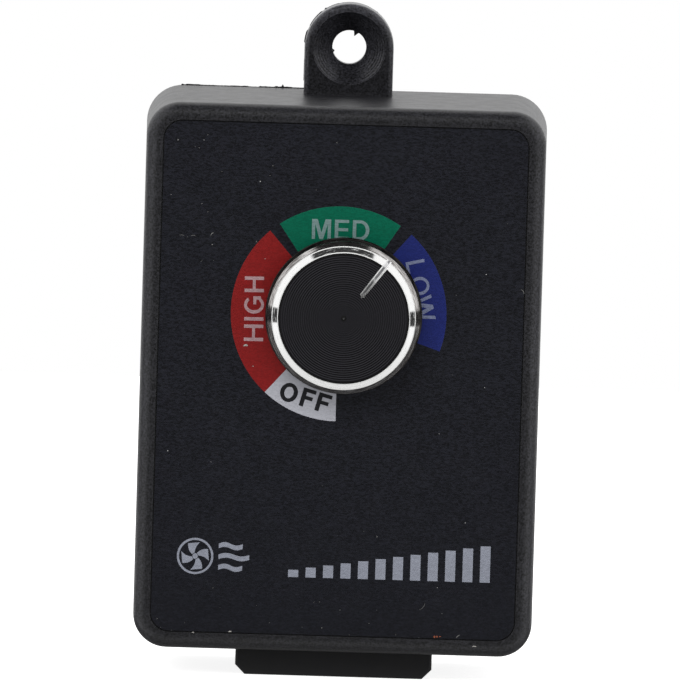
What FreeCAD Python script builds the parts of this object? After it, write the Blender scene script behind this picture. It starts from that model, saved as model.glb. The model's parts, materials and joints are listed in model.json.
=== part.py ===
import FreeCAD, Part
import math
import os

# Fan speed control switch: a plug-through box with one turning knob.
# Millimetres. +Z is up, the front faces -Y, and the origin is the centre of
# the flat back, in the plane of the wall that the box hangs on.
# A "depth" below is a distance forward of that wall plane, so y = -depth.

Vector = FreeCAD.Vector
AXIS_X = Vector(1, 0, 0)
AXIS_Y = Vector(0, 1, 0)

# Housing
box_width = 71.0
box_height = 97.0
box_depth = 38.0
wall = 2.5
front_wall = 3.0
draft_angle = 0.75
corner_radius = 6.4
front_edge_round = 2.4

# Hanging lug on the top of the housing
lug_radius = 7.85
lug_hole_radius = 3.0
lug_sink_radius = 6.45
lug_rise = 8.18
lug_front = 12.6
lug_web = 5.8
lug_skirt = 1.8
lug_skirt_step = 0.5
lug_edge_round = 0.9

# Rear cover and its screws
cover_thickness = 2.5
cover_rim = 1.2
cover_gap = 0.15
boss_radius = 3.3
boss_bite = 0.6
boss_drop = 6.5
boss_lift = 16.0
screw_radius = 1.5
screw_head_radius = 2.9
screw_pilot_radius = 1.25
screw_hole_gap = 0.2
screw_length = 12.0
screw_recess = 0.9
screw_end_gap = 1.0

# Face label, let into the front
bezel_side = 2.9
bezel_end = 2.9
recess_depth = 0.6
label_thickness = 0.5
label_gap = 0.25
label_corner = 3.4
label_eye_radius = 8.4

# Printed dial: fields are degrees clockwise from straight up
print_inner = 12.4
print_outer = 18.9
print_depth = 0.1
print_proud = 0.02
print_shift_x = -0.9
print_shift_z = 0.2
field_angles = {
    "print_off": (180.0, 221.6),
    "print_high": (221.6, 319.1),
    "print_med": (325.3, 393.5),
    "print_low": (40.8, 108.8),
}

# Knob
knob_x = 0.41
knob_drop = 36.95
knob_foot_radius = 13.75
knob_rim_radius = 13.35
knob_shoulder_radius = 12.61
knob_face_radius = 11.5
knob_side = 5.75
knob_bevel = 1.0
knob_rim_drop = 0.85
knob_foot_height = 0.8
knob_groove_width = 0.35
knob_groove_depth = 0.25
knob_gap = 0.5
knob_skin = 0.9
knob_face_thickness = 2.0
knob_inset = 0.3
knob_clearance = 0.3
pointer_angle = 37.0
pointer_start = 5.3
pointer_width = 0.85
pointer_depth = 1.2
turn_to_low_end = 72.0
turn_to_off_end = 197.0

# Control (variable resistor with a snap switch behind it)
bush_radius = 4.6
bush_hole_gap = 0.2
washer_radius = 7.0
washer_thickness = 0.4
nut_across_flats = 11.0
nut_height = 1.8
bush_past_nut = 0.3
flange_thickness = 1.2
case_radius = 12.0
case_depth = 9.0
case_wall = 0.6
shaft_radius = 3.0
shaft_flat = 1.5
running_gap = 0.04
fit_gap = 0.02
wafer_thickness = 1.5
wafer_gap = 0.1
wafer_tab_width = 15.0
wafer_tab_reach = 4.0
track_inner = 6.6
track_outer = 8.8
track_thickness = 0.15
rotor_radius = 8.8
rotor_thickness = 2.4
rotor_space = 1.0
tooth_reach = 1.5
tooth_half_angle = 20.0
stop_half_angle = 25.0
wiper_gap = 0.05
wiper_thickness = 0.3
lug_blade_width = 2.2
lug_blade_thickness = 0.5
lug_blade_pitch = 5.0
lug_blade_length = 9.0
switch_radius = 11.4
switch_depth = 9.4
switch_blade_width = 4.8
switch_blade_thickness = 0.8
switch_blade_reach = 6.0
switch_blade_spread = 5.0

# Mains outlet block, clipped into the bottom
outlet_x = 0.4
outlet_width = 34.6
outlet_thickness = 24.0
outlet_setback = 7.0
outlet_drop = 4.95
outlet_chamfer = 1.7
outlet_edge_round = 0.5
outlet_lip = 2.0
outlet_body_thickness = 20.4
outlet_body_height = 20.0
outlet_cut_gap = 0.2
outlet_face = 3.6
catch_width = 8.0
catch_proud = 1.2
catch_height = 3.0
blade_spacing = 12.7
blade_slot_width = 1.9
live_slot_length = 7.0
neutral_slot_length = 8.6
blade_centre = -5.0
earth_offset = 11.9
earth_pin_radius = 2.4
earth_hole_gap = 0.2
chamber_length = 10.6
chamber_width = 5.0
chamber_end = 1.6
leaf_width = 6.35
leaf_thickness = 0.8
leaf_opening = 1.5
tail_length = 5.0
tail_width = 4.0

# Cord inlet bush in the bottom wall
grommet_side_gap = 0.5
grommet_depth = 19.0
grommet_bore = 3.3
grommet_neck = 4.3
grommet_flange = 5.0
grommet_outer = 1.0
grommet_inner = 1.2
grommet_sink = 0.6
grommet_gap = 0.1

# Circuit board and its posts
board_width = 52.0
board_height = 60.0
board_thickness = 1.6
board_behind = 5.5
board_above_outlet = 4.6
parts_above_tails = 0.6
board_margin = 3.5
post_radius = 3.2
board_screw_length = 8.0
board_head_radius = 2.8
board_head_height = 1.9

# Heat sink and triac
sink_length = 28.0
sink_height = 19.0
sink_plate = 2.0
sink_fin = 5.4
sink_fin_thickness = 1.2
sink_fin_count = 6
sink_from_edge = 7.1
triac_width = 10.2
triac_tab = 1.3
triac_tab_height = 15.4
triac_body = 4.4
triac_body_height = 9.2
triac_stand = 4.0
triac_lead = 0.8
triac_pitch = 2.54
triac_screw_radius = 1.5

# Board parts
part_seat = 0.3
film_length = 18.0
film_width = 9.0
film_height = 15.0
film_round = 1.0
film_from_edge = 2.3
timing_length = 7.2
timing_width = 3.2
timing_height = 8.0
core_outer = 8.0
core_inner = 4.2
core_height = 8.0
winding_wire = 0.6
winding_turns = 20
winding_span = 300.0
resistor_radius = 2.1
resistor_length = 10.5
small_resistor_radius = 1.2
small_resistor_length = 6.0
component_lead = 0.35
component_lift = 1.0
diac_radius = 1.0
diac_length = 4.0
fuse_radius = 2.6
fuse_length = 20.0
fuse_cap = 5.0
fuse_glass_inset = 0.2
clip_thickness = 0.5
clip_length = 5.0
varistor_radius = 5.2
varistor_thickness = 4.2
terminal_pitch = 6.2
terminal_width = 9.0
terminal_height = 11.0
terminal_screw_radius = 1.9
terminal_screw_depth = 4.0
terminal_screw_sink = 0.8
terminal_mouth = 1.7

# Insulated leads
lead_radius = 1.1
lead_gap = 0.3

# Worked-out places
slope = math.tan(math.radians(draft_angle))
top_rear = box_height / 2
bottom_rear = -box_height / 2
lug_z = top_rear + lug_rise
front_width = box_width - 2 * slope * box_depth
front_height = box_height - 2 * slope * box_depth
inside_front = box_depth - front_wall
recess_floor = box_depth - recess_depth
label_front = recess_floor + label_thickness
knob_z = top_rear - knob_drop
boss_x = box_width / 2 - wall - boss_radius + boss_bite
boss_places = [
    (-boss_x, top_rear - boss_drop),
    (boss_x, top_rear - boss_drop),
    (-boss_x, bottom_rear + boss_lift),
    (boss_x, bottom_rear + boss_lift),
]

# The control, from the panel outwards and inwards
washer_front = recess_floor + washer_thickness
nut_front = washer_front + nut_height
bush_front = nut_front + bush_past_nut
knob_rear = label_front + knob_gap
knob_shoulder = knob_rear + knob_side
knob_face = knob_shoulder + knob_bevel
knob_foot_top = knob_rear + knob_foot_height
knob_groove_top = knob_foot_top + knob_groove_width
knob_rim = knob_shoulder - knob_rim_drop
cap_inner_radius = knob_rim_radius - knob_skin
core_front = knob_face - knob_face_thickness
hub_rear = bush_front + knob_clearance
flange_rear = inside_front - flange_thickness
wafer_rear = flange_rear - wafer_thickness
track_rear = wafer_rear - track_thickness
rotor_front = track_rear - rotor_space
rotor_rear = rotor_front - rotor_thickness
case_rear = flange_rear - case_depth
switch_rear = case_rear - switch_depth

# The outlet block
outlet_front = box_depth - outlet_setback
outlet_rear = outlet_front - outlet_thickness
outlet_depth = (outlet_front + outlet_rear) / 2
outlet_seat = bottom_rear + slope * outlet_front
outlet_bottom = bottom_rear + slope * box_depth - outlet_drop
outlet_top = outlet_seat + outlet_body_height
tail_top = outlet_top + tail_length
tail_side = outlet_top + tail_length / 2
inner_floor = bottom_rear + wall + slope * outlet_front
blade_x = outlet_x + blade_centre
outlet_body_width = outlet_width - 2 * outlet_lip
grommet_x = outlet_x - outlet_width / 2 - grommet_side_gap - grommet_flange
earth_x = blade_x + earth_offset
earth_hole_radius = earth_pin_radius + earth_hole_gap

# The board
board_rear = cover_thickness + board_behind
board_front = board_rear + board_thickness
board_bottom = outlet_top + board_above_outlet
board_top = board_bottom + board_height
board_left = -board_width / 2
board_right = board_width / 2
part_rear = board_front + part_seat
board_screw_end = board_rear + board_screw_length
board_posts = [
    (board_left + board_margin, board_top - board_margin),
    (board_right - board_margin, board_top - board_margin),
    (board_left + board_margin, board_bottom + board_margin),
    (board_right - board_margin, board_bottom + board_margin),
]


def block(x0, x1, depth0, depth1, z0, z1):
    """A plain box between two x, two depths and two heights."""
    return Part.makeBox(x1 - x0, depth1 - depth0, z1 - z0, Vector(x0, -depth1, z0))


def rod(x, z, depth0, depth1, radius):
    """A round bar that points forward."""
    return Part.makeCylinder(radius, depth1 - depth0, Vector(x, -depth1, z), AXIS_Y)


def taper(x, z, depth0, radius0, depth1, radius1):
    """A round bar that points forward and changes radius evenly."""
    return Part.makeCone(radius1, radius0, depth1 - depth0, Vector(x, -depth1, z), AXIS_Y)


def upright(x, depth, z0, z1, radius):
    """A round bar that points up."""
    return Part.makeCylinder(radius, z1 - z0, Vector(x, -depth, z0))


def crosswise(x0, x1, depth, z, radius):
    """A round bar that points to the right."""
    return Part.makeCylinder(radius, x1 - x0, Vector(x0, -depth, z), AXIS_X)


def rounded_outline(width, height, corner, depth):
    """A rounded rectangle about the middle of the box, as a wire at one depth."""
    half_w = width / 2
    half_h = height / 2
    diagonal = corner * (1 - math.sqrt(0.5))

    def at(px, pz):
        return Vector(px, -depth, pz)

    edges = []
    for sx, sz in ((1, 1), (1, -1), (-1, -1), (-1, 1)):
        side = at(sx * half_w, sz * (half_h - corner))
        bend = at(sx * (half_w - diagonal), sz * (half_h - diagonal))
        end = at(sx * (half_w - corner), sz * half_h)
        first, last = (end, side) if sx == sz else (side, end)
        if edges:
            edges.append(Part.makeLine(edges[-1].lastVertex().Point, first))
        edges.append(Part.Arc(first, bend, last).toShape())
    edges.append(Part.makeLine(edges[-1].lastVertex().Point, edges[0].firstVertex().Point))
    return Part.Wire(Part.__sortEdges__(edges))


def rounded_plate(width, height, corner, depth0, depth1):
    """A straight plate with rounded corners between two depths."""
    outline = rounded_outline(width, height, corner, depth0)
    return Part.Face(outline).extrude(Vector(0, depth0 - depth1, 0))


def drafted_block(inset, depth0, depth1):
    """The housing's outline, set in evenly, tapered forward by the draft."""
    rings = []
    for depth in (depth0, depth1):
        shrink = inset + slope * depth
        width = box_width - 2 * shrink
        height = box_height - 2 * shrink
        rings.append(rounded_outline(width, height, corner_radius - shrink, depth))
    return Part.makeLoft(rings, True, True)


def edges_at_depth(shape, depth):
    """The edges that lie wholly in one plane facing forward."""
    found = []
    for edge in shape.Edges:
        box = edge.BoundBox
        if abs(box.YMin + depth) < 1e-4 and abs(box.YMax + depth) < 1e-4:
            found.append(edge)
    return found


def ring_sector(x, z, inner, outer, start, end, depth0, depth1):
    """Part of a flat ring between two angles clockwise from straight up."""

    def at(radius, angle):
        turn = math.radians(angle)
        return Vector(x + radius * math.sin(turn), -depth0, z + radius * math.cos(turn))

    middle = (start + end) / 2
    edges = [
        Part.Arc(at(outer, start), at(outer, middle), at(outer, end)).toShape(),
        Part.makeLine(at(outer, end), at(inner, end)),
        Part.Arc(at(inner, end), at(inner, middle), at(inner, start)).toShape(),
        Part.makeLine(at(inner, start), at(outer, start)),
    ]
    return Part.Face(Part.Wire(edges)).extrude(Vector(0, depth0 - depth1, 0))


def fused(shapes):
    """One solid from pieces that overlap or share a face."""
    first, *rest = shapes
    return first.fuse(rest).removeSplitter() if rest else first


def routed_tube(points, radius):
    """A round lead along straight runs joined by tangent arcs."""
    edges = []
    start = points[0]
    for before, corner, after in zip(points, points[1:], points[2:]):
        arriving = corner.sub(before)
        leaving = after.sub(corner)
        turn = arriving.getAngle(leaving)
        reach = 0.45 * min(arriving.Length, leaving.Length)
        bend = reach / math.tan(turn / 2)
        arriving.normalize()
        leaving.normalize()
        inward = leaving.sub(arriving)
        inward.normalize()
        first = corner.sub(arriving * reach)
        last = corner.add(leaving * reach)
        centre = corner.add(inward * (bend / math.cos(turn / 2)))
        edges.append(Part.makeLine(start, first))
        edges.append(Part.Arc(first, centre.sub(inward * bend), last).toShape())
        start = last
    edges.append(Part.makeLine(start, points[-1]))
    path = Part.Wire(edges)
    section = Part.Wire(Part.makeCircle(radius, points[0], points[1].sub(points[0])))
    tube = path.makePipeShell([section], True, True)
    expected = math.pi * radius ** 2 * path.Length
    print("lead: length %.1f mm, volume %.4f of the expected" % (path.Length, tube.Volume / expected))
    return tube


def hanging_lug():
    """The round-topped lug, with a skirt behind it that reaches the wall."""
    back = lug_front - lug_web
    foot = top_rear - slope * lug_front - wall / 3
    head = rod(0, lug_z, back, lug_front, lug_radius)
    neck = block(-lug_radius, lug_radius, back, lug_front, foot, lug_z)
    web = fused([head, neck])
    rims = [e for e in edges_at_depth(web, lug_front) if e.BoundBox.ZMax > foot + 0.1]
    web = web.makeFillet(lug_edge_round, rims)
    outer = lug_radius - lug_skirt_step
    inner = outer - lug_skirt
    skirt = fused([rod(0, lug_z, 0, back, outer), block(-outer, outer, 0, back, foot, lug_z)])
    pocket_foot = top_rear + lug_skirt
    pocket = fused([rod(0, lug_z, -1, back, inner), block(-inner, inner, -1, back, pocket_foot, lug_z)])
    return fused([web, skirt.cut(pocket)])


def lug_hole():
    """The screw hole through the lug, with its countersink."""
    sink_depth = lug_sink_radius - lug_hole_radius
    sink = taper(0, lug_z, lug_front - sink_depth, lug_hole_radius, lug_front, lug_sink_radius)
    mouth = rod(0, lug_z, lug_front, lug_front + 1, lug_sink_radius)
    return fused([rod(0, lug_z, -1, lug_front, lug_hole_radius), sink, mouth])


def front_shell():
    """The moulded housing: box, lug, label recess, bosses and posts."""
    outer = drafted_block(0, 0, box_depth)
    outer = outer.makeFillet(front_edge_round, edges_at_depth(outer, box_depth))
    shell = fused([outer, hanging_lug()])
    shell = shell.cut(drafted_block(wall, -1, inside_front))
    rebate = rounded_plate(
        box_width - 2 * cover_rim, box_height - 2 * cover_rim, corner_radius - cover_rim,
        -1, cover_thickness)
    recess = rounded_plate(
        front_width - 2 * bezel_side, front_height - 2 * bezel_end, label_corner,
        recess_floor, box_depth + 1)
    shell = shell.cut([lug_hole(), rebate, recess])
    supports = []
    for x, z in boss_places:
        supports.append(rod(x, z, cover_thickness, inside_front + front_wall / 3, boss_radius))
    for x, z in board_posts:
        supports.append(rod(x, z, board_front, inside_front + front_wall / 3, post_radius))
    shell = fused([shell] + supports)
    holes = [rod(knob_x, knob_z, inside_front - 1, box_depth, bush_radius + bush_hole_gap)]
    pilot = screw_length + screw_end_gap
    for x, z in boss_places:
        holes.append(rod(x, z, 0, pilot, screw_pilot_radius))
    for x, z in board_posts:
        holes.append(rod(x, z, board_rear, board_screw_end + screw_end_gap, screw_pilot_radius))
    holes.append(outlet_opening())
    holes.append(grommet_opening())
    return shell.cut(holes)


def outlet_opening():
    """The flat seat and the rectangular hole for the outlet block."""
    half = outlet_width / 2 + outlet_cut_gap
    seat = block(
        outlet_x - half, outlet_x + half, outlet_rear - outlet_cut_gap, outlet_front,
        bottom_rear - 1, outlet_seat)
    half_w = outlet_body_width / 2 + outlet_cut_gap
    half_t = outlet_body_thickness / 2 + outlet_cut_gap
    hole = block(
        outlet_x - half_w, outlet_x + half_w, outlet_depth - half_t, outlet_depth + half_t,
        bottom_rear - 1, inner_floor + 1)
    return fused([seat, hole])


def grommet_levels():
    """Heights of the inlet bush: seat under its flange and top of its neck."""
    seat = bottom_rear + slope * (grommet_depth + grommet_flange) + grommet_sink
    neck_top = bottom_rear + wall + slope * (grommet_depth + grommet_flange)
    return seat, neck_top


def grommet_opening():
    """The counterbored hole that the cord inlet bush sits in."""
    seat, neck_top = grommet_levels()
    hole = upright(grommet_x, grommet_depth, bottom_rear - 1, neck_top + 1, grommet_neck + grommet_gap)
    sink = upright(grommet_x, grommet_depth, bottom_rear - 1, seat, grommet_flange + grommet_gap)
    ring_top = neck_top + grommet_inner
    ring = upright(grommet_x, grommet_depth, neck_top, ring_top, grommet_flange + grommet_gap)
    return fused([hole, sink, ring])


def cord_grommet():
    """The rubber bush that the mains lead enters through."""
    seat, neck_top = grommet_levels()
    neck = upright(grommet_x, grommet_depth, seat, neck_top, grommet_neck)
    outer = upright(grommet_x, grommet_depth, seat - grommet_outer, seat, grommet_flange)
    inner = upright(grommet_x, grommet_depth, neck_top, neck_top + grommet_inner, grommet_flange)
    body = fused([neck, outer, inner])
    edges = [e for e in body.Edges if abs(e.BoundBox.ZMax - seat + grommet_outer) < 1e-4]
    body = body.makeFillet(grommet_outer / 3, edges)
    return body.cut(upright(grommet_x, grommet_depth, bottom_rear - 3, neck_top + 3, grommet_bore))


def rear_cover():
    """The flat back, let into the rim, with four countersunk holes."""
    inset = cover_rim + cover_gap
    plate = rounded_plate(
        box_width - 2 * inset, box_height - 2 * inset, corner_radius - inset,
        0, cover_thickness)
    holes = []
    for x, z in boss_places:
        holes.append(rod(x, z, -1, cover_thickness + 1, screw_radius + screw_hole_gap))
        holes.append(screw_sink(x, z))
    return plate.cut(holes)


def screw_sink(x, z):
    """The countersink and the shallow well above a cover screw's head."""
    bore = screw_radius + screw_hole_gap
    cone_depth = screw_head_radius + screw_hole_gap - bore
    cone = taper(x, z, screw_recess, screw_head_radius + screw_hole_gap, screw_recess + cone_depth, bore)
    well = rod(x, z, -1, screw_recess, screw_head_radius + screw_hole_gap)
    return fused([cone, well])


def cover_screws():
    """Four countersunk screws with cross slots, as one group."""
    screws = []
    cone_depth = screw_head_radius - screw_radius
    for x, z in boss_places:
        head = taper(x, z, screw_recess, screw_head_radius, screw_recess + cone_depth, screw_radius)
        shank = rod(x, z, screw_recess + cone_depth, screw_length - 1, screw_pilot_radius)
        neck = rod(x, z, screw_recess + cone_depth, cover_thickness, screw_radius)
        point = taper(x, z, screw_length - 1, screw_pilot_radius, screw_length, screw_pilot_radius / 3)
        slot = screw_radius * 1.1
        bar = screw_radius / 4
        cross = [
            block(x - slot, x + slot, screw_recess - 1, screw_recess + 1, z - bar, z + bar),
            block(x - bar, x + bar, screw_recess - 1, screw_recess + 1, z - slot, z + slot),
        ]
        screws.append(fused([head, neck, shank, point]).cut(cross))
    return Part.makeCompound(screws)


def dial_field(name, depth0, depth1):
    """One coloured field of the dial."""
    start, end = field_angles[name]
    return ring_sector(
        knob_x + print_shift_x, knob_z + print_shift_z, print_inner, print_outer,
        start, end, depth0, depth1)


def face_label():
    """The printed face plate, with an eye for the control's nut."""
    plate = rounded_plate(
        front_width - 2 * bezel_side - 2 * label_gap, front_height - 2 * bezel_end - 2 * label_gap,
        label_corner - label_gap, recess_floor, label_front)
    cuts = [rod(knob_x, knob_z, recess_floor - 1, box_depth + 1, label_eye_radius)]
    for name in field_angles:
        cuts.append(dial_field(name, label_front - print_depth, box_depth + 1))
    return plate.cut(cuts)


def knob_cap():
    """The turned metal cap: foot ring, groove, side, two cut bevels, face and pointer."""

    def at(radius, depth):
        return Vector(knob_x + radius, -depth, knob_z)

    neck = knob_rim_radius - knob_groove_depth
    profile = Part.makePolygon([
        at(0, knob_face), at(knob_face_radius, knob_face),
        at(knob_shoulder_radius, knob_shoulder), at(knob_rim_radius, knob_rim),
        at(knob_rim_radius, knob_groove_top), at(neck, knob_groove_top),
        at(neck, knob_foot_top), at(knob_foot_radius, knob_foot_top),
        at(knob_foot_radius, knob_rear), at(cap_inner_radius, knob_rear),
        at(cap_inner_radius, core_front), at(0, core_front), at(0, knob_face),
    ])
    axis_foot = Vector(knob_x, 0, knob_z)
    cap = Part.Face(profile).revolve(axis_foot, AXIS_Y, 360)
    floor = knob_face - pointer_depth
    half = pointer_width / 2
    reach = knob_foot_radius + 1
    groove = fused([
        block(knob_x - half, knob_x + half, floor, knob_face + 1, knob_z + pointer_start, knob_z + reach),
        rod(knob_x, knob_z + pointer_start, floor, knob_face + 1, half),
    ])
    groove.rotate(axis_foot, AXIS_Y, pointer_angle)
    return cap.cut(groove)


def shaft_bar(depth0, depth1, radius, flat):
    """A shaft of the control's size with the flat of its turned end."""
    bar = rod(knob_x, knob_z, depth0, depth1, radius)
    away = block(
        knob_x - 2 * radius, knob_x + 2 * radius, depth0 - 1, depth1 + 1,
        knob_z + flat, knob_z + 2 * radius)
    away.rotate(Vector(knob_x, 0, knob_z), AXIS_Y, pointer_angle + 180)
    return bar.cut(away)


def knob_core():
    """The moulded core inside the cap, hollow over the nut, with a flatted bore."""

    def at(radius, depth):
        return Vector(knob_x + radius, -depth, knob_z)

    foot = knob_rear + knob_inset
    hollow = washer_radius + knob_clearance
    profile = Part.makePolygon([
        at(0, core_front), at(cap_inner_radius, core_front), at(cap_inner_radius, foot),
        at(hollow, foot), at(hollow, hub_rear), at(0, hub_rear), at(0, core_front),
    ])
    core = Part.Face(profile).revolve(Vector(knob_x, 0, knob_z), AXIS_Y, 360)
    bore = shaft_bar(hub_rear - 1, core_front - knob_clearance, shaft_radius + fit_gap, shaft_flat + fit_gap)
    return core.cut(bore)


def pot_shaft():
    """The control's shaft, flatted at the front where the knob grips it."""
    plain = rod(knob_x, knob_z, rotor_rear, hub_rear, shaft_radius)
    end = shaft_bar(hub_rear, core_front - 2 * knob_clearance, shaft_radius, shaft_flat)
    return fused([plain, end])


def pot_bush():
    """The control's mounting plate and threaded bush."""
    flange = rod(knob_x, knob_z, flange_rear, inside_front, case_radius)
    bush = rod(knob_x, knob_z, inside_front, bush_front, bush_radius)
    edges = edges_at_depth(bush, bush_front)
    bush = bush.makeChamfer(bush_past_nut, edges)
    bore = rod(knob_x, knob_z, flange_rear - 1, bush_front + 1, shaft_radius + running_gap)
    return fused([flange, bush]).cut(bore)


def pot_washer():
    """The flat washer under the control's nut."""
    ring = rod(knob_x, knob_z, recess_floor, washer_front, washer_radius)
    return ring.cut(rod(knob_x, knob_z, recess_floor - 1, washer_front + 1, bush_radius + fit_gap))


def pot_nut():
    """The hexagon nut that holds the control to the panel."""
    corner = nut_across_flats / math.sqrt(3)
    points = []
    for step in range(7):
        turn = math.radians(60 * step)
        across = corner * math.cos(turn)
        up = corner * math.sin(turn)
        points.append(Vector(knob_x + across, -washer_front, knob_z + up))
    nut = Part.Face(Part.makePolygon(points)).extrude(Vector(0, -nut_height, 0))
    return nut.cut(rod(knob_x, knob_z, washer_front - 1, nut_front + 1, bush_radius + fit_gap))


def pot_wafer():
    """The insulating wafer that carries the resistance track and its lugs."""
    disc = rod(knob_x, knob_z, wafer_rear, flange_rear, case_radius - case_wall - wafer_gap)
    tab_top = knob_z + case_radius + wafer_tab_reach
    half = wafer_tab_width / 2
    tab = block(knob_x - half, knob_x + half, wafer_rear, flange_rear, knob_z, tab_top)
    hole = rod(knob_x, knob_z, wafer_rear - 1, flange_rear + 1, shaft_radius + 5 * wafer_gap)
    return fused([disc, tab]).cut(hole)


def pot_track():
    """The horseshoe of resistance film on the wafer."""
    return ring_sector(knob_x, knob_z, track_inner, track_outer, -140, 140, track_rear, wafer_rear)


def pot_terminals():
    """Three solder lugs behind the wafer's tab."""
    lugs = []
    foot = knob_z + track_outer + 2 * wafer_gap
    for step in (-1, 0, 1):
        x = knob_x + step * lug_blade_pitch
        half = lug_blade_width / 2
        blade = block(
            x - half, x + half, wafer_rear - lug_blade_thickness, wafer_rear,
            foot, foot + lug_blade_length)
        eye = rod(x, foot + lug_blade_length - lug_blade_width, 0, box_depth, lug_blade_width / 4)
        lugs.append(blade.cut(eye))
    return Part.makeCompound(lugs)


def pot_case():
    """The pressed metal can behind the wafer, with its rotation stop."""
    can = rod(knob_x, knob_z, case_rear, flange_rear, case_radius)
    hollow = rod(knob_x, knob_z, case_rear + case_wall, flange_rear + 1, case_radius - case_wall)
    can = can.cut(hollow)
    half = wafer_tab_width / 2 + wafer_gap
    notch = block(
        knob_x - half, knob_x + half, wafer_rear - lug_blade_thickness - wafer_gap, flange_rear + 1,
        knob_z, knob_z + 2 * case_radius)
    can = can.cut(notch)
    middle = pointer_angle + turn_to_low_end + (360 - turn_to_low_end - turn_to_off_end) / 2
    stop = ring_sector(
        knob_x, knob_z, rotor_radius + 3 * wafer_gap, case_radius - case_wall / 2,
        middle - stop_half_angle, middle + stop_half_angle, case_rear + case_wall / 2, rotor_front)
    return fused([can, stop])


def pot_rotor():
    """The moulded disc on the shaft, with the tooth that meets the stop."""
    disc = rod(knob_x, knob_z, rotor_rear, rotor_front, rotor_radius)
    tooth = ring_sector(
        knob_x, knob_z, rotor_radius - tooth_reach, rotor_radius + tooth_reach,
        pointer_angle - tooth_half_angle, pointer_angle + tooth_half_angle, rotor_rear, rotor_front)
    hole = rod(knob_x, knob_z, rotor_rear - 1, rotor_front + 1, shaft_radius + fit_gap)
    return fused([disc, tooth]).cut(hole)


def pot_wiper():
    """The spring strip on the rotor, with two fingers that ride the track."""
    strip = ring_sector(
        knob_x, knob_z, shaft_radius + 4 * wiper_thickness, track_outer,
        pointer_angle - tooth_half_angle, pointer_angle + tooth_half_angle,
        rotor_front, rotor_front + wiper_thickness)
    pieces = [strip]
    for side in (-1, 1):
        angle = pointer_angle + side * tooth_half_angle * 0.7
        pieces.append(ring_sector(
            knob_x, knob_z, track_inner + 2 * wiper_thickness, track_outer - 2 * wiper_thickness,
            angle - 2, angle + 2, rotor_front, track_rear - wiper_gap))
    return fused(pieces)


def switch_can():
    """The sealed snap switch behind the control."""
    can = rod(knob_x, knob_z, switch_rear, case_rear, switch_radius)
    edges = edges_at_depth(can, switch_rear)
    return can.makeFillet(case_wall * 2, edges)


def switch_blade_spots():
    """The x of each of the snap switch's two blades."""
    return [knob_x - switch_blade_spread, knob_x + switch_blade_spread]


def switch_terminals():
    """Two blades on the side of the snap switch, pointing up."""
    blades = []
    depth = switch_rear + switch_depth / 3
    for x in switch_blade_spots():
        half = switch_blade_width / 2
        far = abs(x - knob_x) + half
        foot = knob_z + math.sqrt(switch_radius ** 2 - far ** 2)
        blade = block(
            x - half, x + half, depth, depth + switch_blade_thickness,
            foot, knob_z + switch_radius + switch_blade_reach)
        blades.append(blade.cut(rod(knob_x, knob_z, 0, box_depth, switch_radius)))
    return Part.makeCompound(blades)


def outlet_body():
    """The three-hole mains outlet: visible block, inner body and side catches."""
    half = outlet_width / 2
    face = block(outlet_x - half, outlet_x + half, outlet_rear, outlet_front, outlet_bottom, outlet_seat)
    lower = [
        e for e in face.Edges
        if abs(e.BoundBox.ZMax - outlet_bottom) < 1e-4 and e.BoundBox.YLength > 1
    ]
    face = face.makeChamfer(outlet_chamfer, lower)
    front = [e for e in edges_at_depth(face, outlet_front) if e.BoundBox.ZMin < outlet_seat - 0.1]
    face = face.makeFillet(outlet_edge_round, front)
    half_w = outlet_body_width / 2
    half_t = outlet_body_thickness / 2
    inner = block(
        outlet_x - half_w, outlet_x + half_w, outlet_depth - half_t, outlet_depth + half_t,
        outlet_seat, outlet_top)
    body = fused([face, inner] + [outlet_catch(side) for side in (-1, 1)])
    return body.cut(outlet_cavities())


def outlet_catch(side):
    """A wedge on the outlet's end that snaps over the bottom wall."""
    edge = outlet_x + side * outlet_body_width / 2
    floor = inner_floor + outlet_cut_gap
    inside = edge - side * catch_proud
    outside = edge + side * catch_proud
    points = [
        Vector(inside, 0, floor), Vector(outside, 0, floor), Vector(edge, 0, floor + catch_height),
        Vector(inside, 0, floor + catch_height), Vector(inside, 0, floor),
    ]
    wedge = Part.Face(Part.makePolygon(points)).extrude(Vector(0, catch_width, 0))
    wedge.translate(Vector(0, -outlet_depth - catch_width / 2, 0))
    return wedge


def outlet_cavities():
    """Blade slots, the earth hole and the chambers for the contacts."""
    cuts = []
    chamber_floor = outlet_bottom + outlet_face
    slots = ((-1, live_slot_length), (1, neutral_slot_length))
    for side, length in slots:
        depth = outlet_depth + side * blade_spacing / 2
        cuts.append(block(
            blade_x - length / 2, blade_x + length / 2,
            depth - blade_slot_width / 2, depth + blade_slot_width / 2,
            outlet_bottom - 1, outlet_top - chamber_end))
        cuts.append(block(
            blade_x - chamber_length / 2, blade_x + chamber_length / 2,
            depth - chamber_width / 2, depth + chamber_width / 2,
            chamber_floor, outlet_top - chamber_end))
        cuts.append(block(
            blade_x - tail_width / 2 - fit_gap, blade_x + tail_width / 2 + fit_gap,
            depth - leaf_thickness / 2 - fit_gap, depth + leaf_thickness / 2 + fit_gap,
            outlet_top - chamber_end - 1, outlet_top + 1))
    cuts.append(upright(earth_x, outlet_depth, outlet_bottom - 1, chamber_floor, earth_hole_radius))
    cuts.append(upright(
        earth_x, outlet_depth, chamber_floor, outlet_top - chamber_end, earth_sleeve_radius() + fit_gap))
    cuts.append(block(
        earth_x - tail_width / 2 - fit_gap, earth_x + tail_width / 2 + fit_gap,
        outlet_depth - leaf_thickness / 2 - fit_gap, outlet_depth + leaf_thickness / 2 + fit_gap,
        outlet_top - chamber_end - 1, outlet_top + 1))
    return cuts


def earth_sleeve_radius():
    """Outer radius of the earth contact's sleeve."""
    return earth_pin_radius + fit_gap + leaf_thickness


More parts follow.
